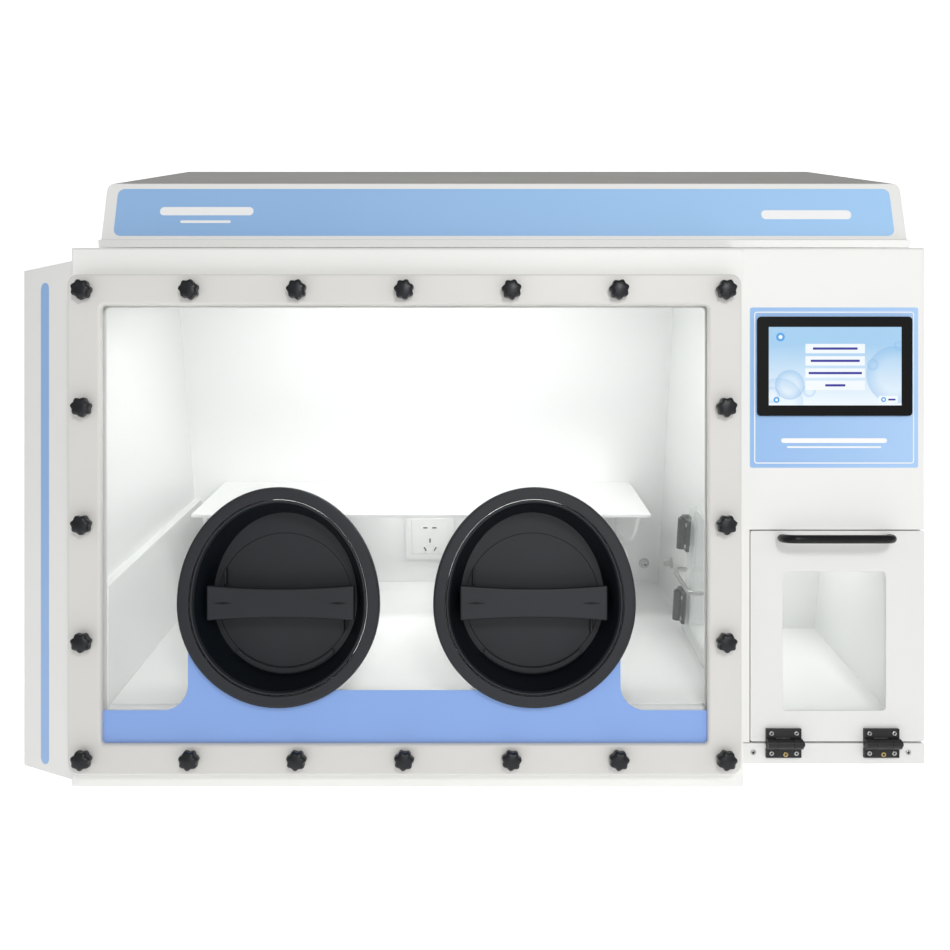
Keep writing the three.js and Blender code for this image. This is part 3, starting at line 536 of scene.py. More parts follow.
screen_low, screen_high = face_box("touch_screen", column_face)
BEZEL_TO_LABEL = 0.0095
LABEL_ABOVE_SCREEN = 0.0132
LABEL_BELOW_SCREEN = 0.072
# The column label's blue is painted lighter to the right too, as painted light.
column_blue = print_with_painted_light(
    "column_blue", (0.30, 0.50, 0.82), (0.40, 0.60, 0.88), column_low.x, column_high.x,
)
panel_x = (screen_low.x - BEZEL_TO_LABEL, screen_high.x + BEZEL_TO_LABEL)
panel_z = (screen_low.z - LABEL_BELOW_SCREEN, screen_high.z + LABEL_ABOVE_SCREEN)
LINE_INSET = 0.0058
line_x = (panel_x[0] + LINE_INSET, panel_x[1] - LINE_INSET)
line_z = (panel_z[0] + LINE_INSET, panel_z[1] - LINE_INSET)
panel_middle = (panel_x[0] + panel_x[1]) / 2
marks = [
    plate(panel_x, panel_z, 0.003, -PRINT_THICK, SUNK),
    coloured(outline_ring(line_x, line_z, 0.004, 0.0015, -2 * PRINT_THICK, 0), 1),
]
for half, low, high in ((0.0735, 0.0345, 0.0410), (0.0655, 0.0275, 0.0298)):
    z = (panel_z[0] + low, panel_z[0] + high)
    x = (panel_middle - half, panel_middle + half)
    marks.append(coloured(plate(x, z, (high - low) / 2.1, -2 * PRINT_THICK, 0), 1))
piece(
    placed(joined(*marks), column_face), "column_label", [column_blue, white_print], "case",
)

# ---------------------------------------------------------------- touch screen
# A gloss black bezel round a lit display. The display shows a plain menu: four buttons, each
# with a bar in place of its words, over a pale blue ground with soft rings.
DISPLAY_BORDER = (0.0155, 0.0145)
black_gloss = coated(
    "black_gloss", (0.006, 0.006, 0.006), {"Specular IOR Level": 0.15}, shade=0.1, grain=200.0,
    height=0.000005, rough=0.3,
)


def lit_print(name, colour):
    """A colour on the lit display: dark glass that glows, a little uneven as a backlight is."""
    material = coated(
        name, colour, shade=0.04, patch=14.0, grain=2500.0, height=0.000002, rough=0.25,
    )
    tree = material.node_tree
    shader = tree.nodes["Principled BSDF"]
    glow = group_in(tree).outputs["Colour"]
    dimmed = put(tree, "ShaderNodeHueSaturation", {"Color": glow, "Value": 0.03})
    tree.links.new(dimmed.outputs["Color"], shader.inputs["Base Color"])
    tree.links.new(glow, shader.inputs["Emission Color"])
    shader.inputs["Emission Strength"].default_value = 1.0
    return material


display_x = (screen_low.x + DISPLAY_BORDER[0], screen_high.x - DISPLAY_BORDER[0])
display_z = (screen_low.z + DISPLAY_BORDER[1], screen_high.z - DISPLAY_BORDER[1])
display_middle = ((display_x[0] + display_x[1]) / 2, 0, (display_z[0] + display_z[1]) / 2)
display_ground = lit_print("display_ground", (0.55, 0.75, 0.90))
ground_tree = display_ground.node_tree
to_display = put(ground_tree, "ShaderNodeMapping", {
    "Vector": put(ground_tree, "ShaderNodeTexCoord").outputs["Object"],
    "Location": column_face @ Vector(display_middle), "Rotation": (-lean, 0, 0),
}, vector_type="TEXTURE")
height_share = put(ground_tree, "ShaderNodeSeparateXYZ", {"Vector": to_display.outputs["Vector"]})
pale = put(ground_tree, "ShaderNodeMapRange", {
    "Value": height_share.outputs["Z"], "From Min": 0.03, "From Max": -0.055,
})
ground_colour = put(ground_tree, "ShaderNodeMix", {
    "Factor": pale.outputs["Result"], "A": (0.38, 0.62, 0.86, 1), "B": (0.86, 0.93, 0.98, 1),
}, data_type="RGBA")
colour_now = ground_colour.outputs[2]
BUBBLES = (                      # (across, up, radius, strength), from the display's middle
    (-0.078, -0.050, 0.034, 0.30), (-0.063, -0.026, 0.021, 0.55), (-0.088, -0.040, 0.012, 0.40),
    (-0.036, -0.034, 0.010, 0.45), (0.083, -0.012, 0.040, 0.50), (0.052, 0.002, 0.009, 0.50),
    (0.088, 0.028, 0.008, 0.50),
)
for x, z, radius, strength in BUBBLES:
    offset = put(ground_tree, "ShaderNodeVectorMath", {
        0: to_display.outputs["Vector"], 1: (x, 0, z),
    }, operation="DISTANCE")
    rim = put(ground_tree, "ShaderNodeMapRange", {
        "Value": offset.outputs["Value"], "From Min": radius * 0.55, "From Max": radius,
        "To Min": 0.0, "To Max": strength,
    })
    inside = put(ground_tree, "ShaderNodeMath", {
        0: offset.outputs["Value"], 1: radius,
    }, operation="LESS_THAN")
    share = put(ground_tree, "ShaderNodeMath", {
        0: rim.outputs["Result"], 1: inside.outputs["Value"],
    }, operation="MULTIPLY")
    bubble = put(ground_tree, "ShaderNodeMix", {
        "Factor": share.outputs["Value"], "A": colour_now, "B": (0.25, 0.50, 0.80, 1),
    }, data_type="RGBA")
    colour_now = bubble.outputs[2]
ground_tree.links.new(colour_now, group_in(ground_tree).inputs["Colour"])

button_white = lit_print("button_white", (0.88, 0.93, 0.97))
button_ink = lit_print("button_ink", (0.045, 0.04, 0.33))
icon_blue = lit_print("icon_blue", (0.10, 0.38, 0.78))
BUTTON_SIZE = (0.0824, 0.0130)
BUTTON_PITCH = 0.0170
BUTTON_TOP = 0.0235              # from the display's upper edge to the first button
LEVEL = 0.0002                   # each printed layer stands this far off the one below
display_front = screen_low.y - LEVEL


def display_plate(x, z, radius, level, index):
    """A flat part of the picture on the display, measured from the display's middle."""
    x = [display_middle[0] + value for value in x]
    z = [display_middle[2] + value for value in z]
    front = display_front - level * LEVEL
    return coloured(plate(x, z, radius, front, front + LEVEL), index)


def about(middle, half):
    """The span that reaches half to each side of a middle."""
    return (middle - half, middle + half)


half_wide = (display_x[1] - display_x[0]) / 2
half_high = (display_z[1] - display_z[0]) / 2
picture = [display_plate((-half_wide, half_wide), (-half_high, half_high), 0, 0, 0)]
for row, words in enumerate((0.031, 0.034, 0.037, 0.014)):
    top = half_high - BUTTON_TOP - row * BUTTON_PITCH
    z = (top - BUTTON_SIZE[1], top)
    picture.append(display_plate(about(0, BUTTON_SIZE[0] / 2), z, 0.0008, 1, 1))
    picture.append(display_plate((-words, words), about(sum(z) / 2, 0.0016), 0.001, 2, 2))

# A small button in the lower right corner holds a ring and a bar; two more rings stand at the
# left. Each ring is a blue round with a white one on it.
help_x = half_wide - 0.0315
low_z = -half_high
picture.append(display_plate(
    (help_x, help_x + 0.0260), (low_z + 0.003, low_z + 0.013), 0.0006, 1, 1,
))
picture.append(display_plate(
    (help_x + 0.013, help_x + 0.023), (low_z + 0.0067, low_z + 0.0092), 0.0008, 2, 2,
))
for x, z, size in (
    (help_x + 0.0065, low_z + 0.008, 0.0035), (-half_wide + 0.0105, low_z + 0.0075, 0.0042),
    (-half_wide + 0.016, half_high - 0.014, 0.0060),
):
    hole = size * 0.45
    picture.append(display_plate(about(x, size), about(z, size), size * 0.98, 2, 3))
    picture.append(display_plate(about(x, hole), about(z, hole), size * 0.43, 3, 1))
cover("touch_screen", "screen_housing", black_gloss, "screen_black", edge=0.0008)
piece(
    placed(joined(*picture), column_face), "screen_display",
    [display_ground, button_white, button_ink, icon_blue], "case",
)

# ---------------------------------------------------------------- clamp frame and window
# A thick grey-white frame clamps the clear pane on a silicone gasket. Its outer edge is
# rounded, and its inner edge has a wide bright radius.
frame_low, frame_high = face_box("window_frame", main_face)
FRAME_ROUND = 0.0025
OPENING_ROUND = 0.0045
OPENING_INSET = (0.044, 0.0405)  # from the frame's outer edge to its opening
frame_coat = coated(
    "frame_coat", (0.66, 0.65, 0.625), shade=0.04, grain=900.0, height=0.00003, rough=0.42,
)


def on_frame_edge(edge, inset, reach):
    """Whether a sharp front edge of the frame lies within reach of an outline inside it."""
    if not edge.is_manifold or edge.calc_face_angle() < 0.5:
        return False
    inverse = main_face.inverted()
    for vert in edge.verts:
        spot = inverse @ vert.co
        across = min(spot.x - frame_low.x, frame_high.x - spot.x) - inset[0]
        along = min(spot.z - frame_low.z, frame_high.z - spot.z) - inset[1]
        if abs(spot.y - frame_low.y) > 2e-4 or abs(min(across, along)) > reach:
            return False
    return True


# Each knob stands on its joint's axis.
knob_axes = sorted(
    (joint["child"], main_face.inverted() @ Vector(joint["pos_m"]))
    for joint in frame["joints"] if joint["child"].startswith("star_knob_")
)
knobs = [node for node, spot in knob_axes]
knob_places = [(spot.x, spot.z) for node, spot in knob_axes]


def lines_knob_hole(face):
    """Whether a face is part of a shank hole's wall."""
    spot = main_face.inverted() @ face.calc_center_median()
    return any(math.hypot(spot.x - x, spot.z - z) < 0.0045 for x, z in knob_places)


frame_form = finished_copy(
    "window_frame", (OPENING_ROUND, lambda e: on_frame_edge(e, OPENING_INSET, 0.0052)),
    (FRAME_ROUND, lambda e: on_frame_edge(e, (0, 0), 0.0042)), edge=0.0004, plugged=lines_knob_hole,
)

# The shank holes are drilled last, so that they don't disturb the rounded edges.
SHANK_HOLE = 0.0035
DRILL_LENGTH = 0.04
facing_out = Matrix.Rotation(math.pi / 2, 4, "X")
drills = bmesh.new()
for x, z in knob_places:
    stand = main_face @ Matrix.Translation((x, frame_low.y / 2, z)) @ facing_out
    bmesh.ops.create_cone(
        drills, cap_ends=True, segments=24, radius1=SHANK_HOLE, radius2=SHANK_HOLE,
        depth=DRILL_LENGTH, matrix=stand,
    )


def drilled(form, drills):
    """The form with the shape of the drills cut out of it."""
    block = new_object(form, "block", [])
    tool = new_object(drills, "drills", [])
    cut = block.modifiers.new("cut", "BOOLEAN")
    cut.operation = "DIFFERENCE"
    cut.solver = "EXACT"
    cut.object = tool
    result = bmesh.new()
    result.from_mesh(block.evaluated_get(bpy.context.evaluated_depsgraph_get()).to_mesh())
    for thing in (block, tool):
        mesh = thing.data
        bpy.data.objects.remove(thing)
        bpy.data.meshes.remove(mesh)
    return result


frame_form = drilled(frame_form, drills)
piece(frame_form, "clamp_frame", [frame_coat], "window", ["window_frame"])


def clear_sheet(name, tint, low, high):
    """Polished clear sheet: nearly invisible face on, and more reflective at a slant."""
    material, tree, shader = new_material(name, Roughness=0.03, IOR=1.49)
    view = put(tree, "ShaderNodeLayerWeight", {"Blend": 0.35})
    alpha = put(tree, "ShaderNodeMapRange", {
        "Value": view.outputs["Facing"], "From Min": 0.35, "To Min": low, "To Max": high,
    })
    smears = put(tree, "ShaderNodeTexNoise", {
        "Vector": put(tree, "ShaderNodeTexCoord").outputs["Object"], "Scale": 5.0, "Detail": 5.0,
    })
    haze = put(tree, "ShaderNodeMapRange", {
        "Value": smears.outputs["Fac"], "From Min": 0.45, "From Max": 0.75,
        "To Min": 0.02, "To Max": 0.09,
    })
    colour = put(tree, "ShaderNodeMix", {
        "Factor": smears.outputs["Fac"], "A": (*tint, 1), "B": (1, 1, 1, 1),
    }, data_type="RGBA")
    tree.links.new(alpha.outputs["Result"], shader.inputs["Alpha"])
    tree.links.new(haze.outputs["Result"], shader.inputs["Roughness"])
    tree.links.new(colour.outputs[2], shader.inputs["Base Color"])
    return material


def wears(node, material):
    """A CAD node that stays as it is, in its real material."""
    thing = frame["nodes"][node]
    thing.data.materials.clear()
    thing.data.materials.append(material)


acrylic = clear_sheet("clear_acrylic_sheet", (0.86, 0.94, 0.92), 0.05, 0.45)
silicone = coated(
    "white_silicone", (0.74, 0.74, 0.72), shade=0.08, grain=1200.0, height=0.00004, rough=0.6,
)
wears("window_pane", acrylic)
wears("window_gasket", silicone)

# ---------------------------------------------------------------- arm ports
# Two oval ports of black moulded plastic: a flange on the pane, a plug door shaped like a
# bowl, and a turning handle with a waisted bridge bar on the bowl's floor.
PORT_WIDE = 0.133
PORT_UP = 0.154
PORT_DOWN = 0.136
FLANGE_WIDE = 0.016
FLANGE_THICK = 0.012
SLEEVE_INSET = 0.012
BOWL_WALL = 0.004
BOWL_FLOOR = 0.098               # across the floor, where the egg shape stops changing
DISC_RADIUS = 0.091
DISC_THICK = 0.0053              # from the bowl's floor to the disc's face
CRESCENT_TURN = 44               # degrees that the crescent reaches to each side of the bottom
BAR_STANDOFF = 0.024
BAR_THICK = 0.009
BAR_OUTLINE = (0.098, 0.0235, 0.0190)    # half its length, and half its height at ends and waist
SPIN_STEPS = 96
port_plastic = coated(
    "port_plastic", (0.015, 0.017, 0.022), {"Specular IOR Level": 0.4}, shade=0.3, patch=9.0,
    grain=1400.0, height=0.00003, rough=0.52,
)
# Painted shade: a darker copy of the port plastic for the bowl's inner walls and the bar's darts.
port_plastic_painted_shade = coated(
    "port_plastic_painted_shade", (0.005, 0.007, 0.010), {"Specular IOR Level": 0.2}, shade=0.3, patch=9.0,
    grain=1400.0, height=0.00003, rough=0.42,
)


def turned(profile, closed=True, steps=SPIN_STEPS):
    """A profile of (radius, depth) points spun about the face's own y axis."""
    form = bmesh.new()
    verts = [form.verts.new((radius, depth, 0)) for radius, depth in profile]
    pairs = list(zip(verts, verts[1:]))
    if closed:
        pairs.append((verts[-1], verts[0]))
    edges = [form.edges.new(pair) for pair in pairs]
    bmesh.ops.spin(
        form, geom=verts + edges, axis=(0, 1, 0), cent=(0, 0, 0), angle=2 * math.pi, steps=steps,
        use_merge=True,
    )
    bmesh.ops.remove_doubles(form, verts=form.verts, dist=1e-6)
    bmesh.ops.recalc_face_normals(form, faces=form.faces)
    return form


def egg_shaped(form, round_within=0.0):
    """The round form stretched upwards into the port's egg outline, but for its middle."""
    for vert in form.verts:
        if math.hypot(vert.co.x, vert.co.z) < round_within:
            continue
        radius = max(math.hypot(vert.co.x, vert.co.z), BOWL_FLOOR)
        reach = PORT_UP if vert.co.z > 0 else PORT_DOWN
        vert.co.z *= (reach - PORT_WIDE + radius) / radius
    return form


def corner_arc(centre, radius, start, end, steps=4):
    """Points of a rounded profile corner, angles in degrees."""
    turns = [math.radians(start + (end - start) * i / steps) for i in range(steps + 1)]
    return [(centre[0] + radius * math.cos(t), centre[1] + radius * math.sin(t)) for t in turns]


def plan(points, front, back, soften=0.0):
    """A flat outline of (x, z) points given a thickness between two depths."""
    form = bmesh.new()
    form.faces.new([form.verts.new((x, back, z)) for x, z in points])
    thickened(form, front - back)
    if soften:
        edges = [e for e in form.edges if lies(e, upright, y=front)]
        rounded(form, edges, soften, 3)
    return form


def port_details(side):
    """The ring and plug door of one port. Gives its hub's frame and its bowl's floor."""
    ring_low, ring_high = face_box(f"port_ring_{side}", main_face)
    hub = main_face @ Matrix.Translation(((ring_low.x + ring_high.x) / 2, 0, ring_high.z - PORT_UP))
    front = ring_low.y
    back = front + FLANGE_THICK
    inner = PORT_WIDE - FLANGE_WIDE
    sleeve = PORT_WIDE - SLEEVE_INSET
    profile = [
        (PORT_WIDE - 0.0006, back), (PORT_WIDE, back - 0.0006),
        *corner_arc((PORT_WIDE - 0.004, front + 0.004), 0.004, 0, -90),
        *corner_arc((inner + 0.0015, front + 0.0015), 0.0015, -90, -180),
        (inner, ring_high.y - 0.0005), (inner + 0.0005, ring_high.y),
        (sleeve - 0.0005, ring_high.y), (sleeve, ring_high.y - 0.0005), (sleeve, back),
    ]
    piece(
        placed(egg_shaped(turned(profile)), hub), f"port_flange_{side}", [port_plastic], "window",
        [f"port_ring_{side}"],
    )

    door_low, door_high = face_box(f"port_door_{side}", main_face)
    rim = (door_high.x - door_low.x) / 2
    lip = door_low.y
    floor = door_high.y - BOWL_WALL
    profile = [
        (0, door_high.y), (rim - 0.0185, door_high.y), (rim - 0.0175, door_high.y - 0.0010),
        (rim - 0.0005, lip + 0.0035),
        *corner_arc((rim - 0.0018, lip + 0.0018), 0.0018, 0, -180, 6),
        (rim - 0.0046, lip + 0.0045), (rim - 0.0062, lip + 0.0060),
        (rim - 0.0190, floor - 0.0030), (rim - 0.0204, floor - 0.0007),
        (rim - 0.0222, floor), (0, floor),
    ]
    bowl = egg_shaped(turned(profile, closed=False))
    # Painted shade: the bowl's sloped inner walls take the darker copy of the plastic.
    for face in bowl.faces:
        if face.normal.y > -0.9 and face.calc_center_median().y > lip + 0.005:
            face.material_index = 1

    # The floor is raised round the disc, level with it, and has a low crescent at its foot.
    disc_front = floor - DISC_THICK
    ledge = egg_shaped(turned([
        (DISC_RADIUS + 0.0004, floor + 0.0005), (DISC_RADIUS + 0.0004, disc_front + 0.0003),
        (rim - 0.0185, disc_front + 0.0003), (rim - 0.0185, floor + 0.0005),
    ]), DISC_RADIUS + 0.001)
    crescent = []
    there = range(-CRESCENT_TURN, CRESCENT_TURN + 1, 4)
    for radius, stretch, turns in (
        (rim - 0.0200, (PORT_DOWN - PORT_WIDE + BOWL_FLOOR) / BOWL_FLOOR, there),
        (DISC_RADIUS + 0.0010, 1, reversed(there)),
    ):
        for degrees in turns:
            angle = math.radians(degrees - 90)
            crescent.append((radius * math.cos(angle), stretch * radius * math.sin(angle)))
    crescent = plan(crescent, disc_front - 0.0040, disc_front + 0.0010, soften=0.0010)
    bowl = joined(bowl, ledge, crescent)
    piece(
        placed(bowl, hub), f"port_bowl_{side}", [port_plastic, port_plastic_painted_shade], f"port_door_{side}",
        [f"port_door_{side}"],
    )
    return hub, floor


def waisted_bar(half, end, waist, steps=16):
    """Outline of a bar whose long sides curve in towards the middle."""
    top = []
    for i in range(steps + 1):
        share = 2 * i / steps - 1
        top.append((half * share, waist + (end - waist) * share * share))
    return top[::-1] + [(x, -z) for x, z in top]


def handle_details(side, hub, floor):
    """The turning handle that lies on the floor of one bowl."""
    disc_front = floor - DISC_THICK
    bar_back = disc_front - BAR_STANDOFF
    bar_front = bar_back - BAR_THICK
    disc = turned([
        (0, floor - 0.0004), (DISC_RADIUS - 0.0003, floor - 0.0004),
        *corner_arc((DISC_RADIUS - 0.0005, disc_front + 0.0005), 0.0005, 0, -90), (0, disc_front),
    ], closed=False)
    bar = plan(waisted_bar(*BAR_OUTLINE), bar_front, bar_back)
    rounded(bar, [e for e in bar.edges if e.calc_face_angle() > 0.9], 0.0026, 4)
    forms = [disc, bar]

    # Each end has a foot down to the disc, a fin on the disc and a dart of painted shade set in the
    # bar, for the shadow of a crease.
    for turn in (0, math.pi):
        half_turn = Matrix.Rotation(turn, 4, "Y")
        foot = plate(
            (0.072, 0.0848), (-0.0192, 0.0192), 0.003, bar_back - 0.001, disc_front + 0.001,
        )
        fin = plate(
            (0.0781, 0.0809), (-0.0425, -0.0218), 0.001, disc_front - 0.0088, disc_front + 0.0004,
            soften=0.0008,
        )
        dart = plan(
            [(0.063, 0), (0.076, 0.0017), (0.090, 0), (0.076, -0.0017)], bar_front - 0.0002,
            bar_front + 0.0005,
        )
        forms += [placed(form, half_turn) for form in (foot, fin, coloured(dart, 1))]
    node = f"port_handle_{side}"
    piece(
        placed(joined(*forms), hub), f"turn_handle_{side}", [port_plastic, port_plastic_painted_shade], node,
        [node],
    )


hubs = {}
for side in ("left", "right"):
    hub, bowl_floor = port_details(side)
    handle_details(side, hub, bowl_floor)
    hubs[side] = main_face.inverted() @ hub.translation

# ---------------------------------------------------------------- window decal
# A translucent blue film along the foot of the pane. It rises in two steps beside and
# between the ports, and its upper corners by the ports are hollow curves.
DECAL_SIDE = 0.0425              # height of the film at the sides, above the opening's foot
DECAL_MIDDLE = 0.0690
DECAL_OUT = (0.121, 0.114)       # from the hubs out to the risers, left and right
DECAL_FILLET = 0.033
FLANGE_MIDDLE = 0.008            # the film ends under the middle of each flange
FILM_FRONT, FILM_BACK = 0.00025, 0.00005  # in front of the pane
pane_low = face_box("window_pane", main_face)[0]
film_foot = frame_low.z + OPENING_INSET[1]
film_left = frame_low.x + OPENING_INSET[0]
film_right = frame_high.x - OPENING_INSET[0]
decal_blue = coated(
    "decal_blue", (0.235, 0.385, 0.765), shade=0.03, grain=300.0, height=0.00001, rough=0.3,
)


def under_flange(hub, start, end, steps=14):
    """Points along the middle of a port's flange, on its lower half, angles in radians."""
    wide = PORT_WIDE - FLANGE_MIDDLE
    down = PORT_DOWN - FLANGE_MIDDLE
    turns = [start + (end - start) * i / steps for i in range(steps + 1)]
    return [(hub.x + wide * math.cos(t), hub.z + down * math.sin(t)) for t in turns]


def fillet(corner, away):
    """A hollow curve in a corner; away is the side on which the film is low."""
    centre = (corner[0] + away * DECAL_FILLET, corner[1] + DECAL_FILLET)
    turns = [math.radians(90 * i / 8) for i in range(9)]
    return [(centre[0] - away * DECAL_FILLET * math.cos(t), centre[1] - DECAL_FILLET * math.sin(t))
            for t in turns]


wide = PORT_WIDE - FLANGE_MIDDLE
down = PORT_DOWN - FLANGE_MIDDLE
at_middle = math.asin((hubs["left"].z - film_foot - DECAL_MIDDLE) / down)
left_riser = math.acos(DECAL_OUT[0] / wide)
right_riser = math.acos(DECAL_OUT[1] / wide)
film = [(film_left, film_foot), (film_right, film_foot), (film_right, film_foot + DECAL_SIDE)]
film += reversed(fillet((hubs["right"].x + DECAL_OUT[1], film_foot + DECAL_SIDE), 1))
film += under_flange(hubs["right"], -right_riser, at_middle - math.pi)
film += under_flange(hubs["left"], -at_middle, left_riser - math.pi)
film += fillet((hubs["left"].x - DECAL_OUT[0], film_foot + DECAL_SIDE), -1)
film.append((film_left, film_foot + DECAL_SIDE))
piece(
    placed(plan(film, pane_low.y - FILM_FRONT, pane_low.y - FILM_BACK), main_face),
    "window_decal", [decal_blue], "window",
)

# ---------------------------------------------------------------- star knobs
# Twenty seven-lobed clamping knobs of black moulded plastic, each with a domed crown and a
# steel shank through the frame.
LOBES = 7
KNOB_MEAN = 0.0122
LOBE_RISE = 0.09
KNOB_PROFILE = (                 # (share of the radius, distance in front of the frame)
    (0.86, 0.0), (0.94, 0.0012), (1.0, 0.0035), (1.0, 0.0095), (0.97, 0.0120), (0.88, 0.0138),
    (0.70, 0.0148), (0.45, 0.0154), (0.20, 0.0157), (0.0, 0.0158),
)
knob_plastic = coated(
    "knob_plastic", (0.004, 0.006, 0.008), {"Specular IOR Level": 0.4}, shade=0.3, patch=60.0,
    grain=1800.0, height=0.00002, rough=0.38,
)
bright_steel = coated(
    "bright_steel", (0.55, 0.55, 0.54), {"Metallic": 1.0}, shade=0.2, patch=40.0, grain=1500.0,
    height=0.00002, rough=0.3,
)
frame_front = frame_low.y


def star_knob(centre, turn):
    """One knob in the main face's frame, its lobes fading out towards the crown."""
    profile = [(KNOB_MEAN * share, frame_front - 0.0003 - out) for share, out in KNOB_PROFILE]
    head = turned([(0, profile[0][1])] + profile, closed=False, steps=84)
    for vert in head.verts:
        radius = math.hypot(vert.co.x, vert.co.z)
        angle = math.atan2(vert.co.z, vert.co.x)
        share = min(1, radius / KNOB_MEAN) ** 3
        swell = 1 + LOBE_RISE * share * math.cos(LOBES * (angle - turn))
        vert.co.x *= swell
        vert.co.z *= swell
    shank = coloured(turned([
        (0, frame_front - 0.0005), (0.0029, frame_front - 0.0005), (0.0029, -0.0012),
        (0.0023, -0.0006), (0, -0.0006),
    ], closed=False, steps=20), 1)
    return placed(joined(head, shank), main_face @ Matrix.Translation(centre))


# Tightened by hand, each one stops a few degrees away from a lobe straight down.
for index, (node, (x, z)) in enumerate(zip(knobs, knob_places)):
    turn = math.radians(37 * index % 19 - 99)
    piece(
        star_knob(Vector((x, 0, z)), turn), f"clamp_knob_{index + 1:02d}",
        [knob_plastic, bright_steel], node, [node],
    )

# ---------------------------------------------------------------- airlock door
# A thick coated door that drops down on two hinges, with a clear pane held in a rebate, a
# thin rubber seal behind it and a black bow handle near its top.
door_coat = coated("door_coat", (0.77, 0.77, 0.755), shade=0.035, grain=900.0, height=0.00003)
cover(
    "airlock_door", "airlock_door_leaf", door_coat, "powder_white", edge=0.0012,
    body="airlock_door",
)
black_rubber = coated(
    "black_rubber", (0.02, 0.02, 0.021), shade=0.15, grain=1200.0, height=0.00004, rough=0.75,
)
airlock_acrylic = clear_sheet("airlock_acrylic", (0.86, 0.94, 0.92), 0.07, 0.45)
wears("airlock_door_glass", airlock_acrylic)
wears("airlock_door_seal", black_rubber)


def smooth_bar(node, name, material, body, slot):
    """A bent bar, its CAD tube made round by subdivision."""
    thing = cover(node, name, material, slot, edge=0, body=body)
    thing.data.shade_smooth()
    round_off = thing.modifiers.new("round", "SUBSURF")
    round_off.levels = 2
    round_off.render_levels = 2
    thing.modifiers.move(1, 0)
    return thing


handle_plastic = coated(
    "handle_plastic", (0.004, 0.004, 0.005), {"Specular IOR Level": 0.25}, shade=0.2, patch=30.0,
    grain=1500.0, height=0.00002, rough=0.3,
)
smooth_bar("airlock_door_handle", "airlock_pull", handle_plastic, "airlock_door", "black_plastic")

# ---------------------------------------------------------------- hinges
# Small cast black hinges of two leaves on a steel pin. Steel screws hold each leaf, and the
# fixed leaf of the outer ones has a brass screw that sets the drag.
hinge_coat = coated(
    "hinge_coat", (0.012, 0.012, 0.014), {"Metallic": 0.2}, shade=0.3, patch=50.0, grain=1600.0,
    height=0.00003, rough=0.4,
)
brass = coated(
    "brass", (0.60, 0.44, 0.20), {"Metallic": 1.0}, shade=0.3, patch=80.0, grain=1500.0,
    height=0.00002, rough=0.32,
)
# Near black: painted shade in screw recesses and socket holes, and the mains inlet's own black.
recess_shade_and_inlet_black = coated("recess_shade_and_inlet_black", (0.015, 0.015, 0.015), shade=0.3, grain=1500.0, rough=0.6)
SCREW_RADIUS = 0.0034
SCREW_ACROSS = 0.0172
SCREW_FROM_EDGE = 0.0063
LEAF_FRONT = -0.005
PIN_IN, PIN_UP = -0.008, 0.0072  # the pin's middle, from the face and from the leaf's foot


sideways = Matrix.Rotation(-math.pi / 2, 4, "Z")


def screw(x, z, front, radius=SCREW_RADIUS, metal=1):
    """A pan-head screw, its recess painted near black as shade; front is the surface it is driven
    into.
    """
    head = turned([
        (0, front - 0.0003), (radius * 0.46, front - 0.0003), (radius * 0.5, front - 0.0012),
        (radius * 0.72, front - 0.0012), (radius * 0.93, front - 0.0007), (radius, front),
        (radius * 0.9, front + 0.0004), (0, front + 0.0004),
    ], closed=False, steps=24)
    coloured(head, metal)
    # Painted shade: the recess in the head is coloured near black.
    for face in head.faces:
        spot = face.calc_center_median()
        if math.hypot(spot.x, spot.z) < radius * 0.45 and spot.y < front:
            face.material_index = 2
    return placed(head, Matrix.Translation((x, 0, z)))


def hinge_leaf(node, name, face, body, plate_side, set_screw=False):
    """A leaf with its two screws. plate_side is 1 where the leaf lies above the pin in the
    face's frame and -1 where it lies below."""
    low, high = face_box(node, face)
    middle = (low.x + high.x) / 2
    edge = high.z if plate_side > 0 else low.z
    along = edge - plate_side * SCREW_FROM_EDGE
    forms = [placed(finished_copy(node, edge=0.0005), face.inverted())]
    forms += [screw(middle + side, along, LEAF_FRONT) for side in (-SCREW_ACROSS, SCREW_ACROSS)]
    if set_screw:
        forms.append(screw(middle + 0.0023, along - 0.0015, LEAF_FRONT, radius=0.0036, metal=3))
    if plate_side > 0:
        pin_end = turned([
            (0, -0.0005), (0.0042, -0.0005), (0.0042, 0.0022), (0.0036, 0.0028), (0, 0.0028),
        ], closed=False, steps=24)
        at_pin = Matrix.Translation((high.x, PIN_IN, low.z + PIN_UP))
        forms.append(placed(pin_end, at_pin @ sideways))
    materials = [hinge_coat, bright_steel, recess_shade_and_inlet_black, brass]
    return piece(placed(joined(*forms), face), name, materials, body, [node])


for number in (1, 2):
    upper, lower = (f"airlock_hinge_{number}_{part}" for part in ("upper", "lower"))
    hinge_leaf(upper, f"door_hinge_{number}_leaf", column_face, "airlock_door", 1)
    hinge_leaf(lower, f"door_hinge_{number}_base", column_face, "case", -1, set_screw=True)

strip_form = placed(finished_copy("hinge_strip", edge=0.0008), column_face.inverted())
STRIP_SCREW_Z = 0.016
strip_screws = [
    screw(x, STRIP_SCREW_Z, 0, radius=0.0040)
    for x in (column_low.x + 0.0290, column_high.x - 0.0230)
]
piece(
    placed(joined(strip_form, *strip_screws), column_face), "hinge_strip_bar",
    [door_coat, bright_steel, recess_shade_and_inlet_black], "case", ["hinge_strip"],
)

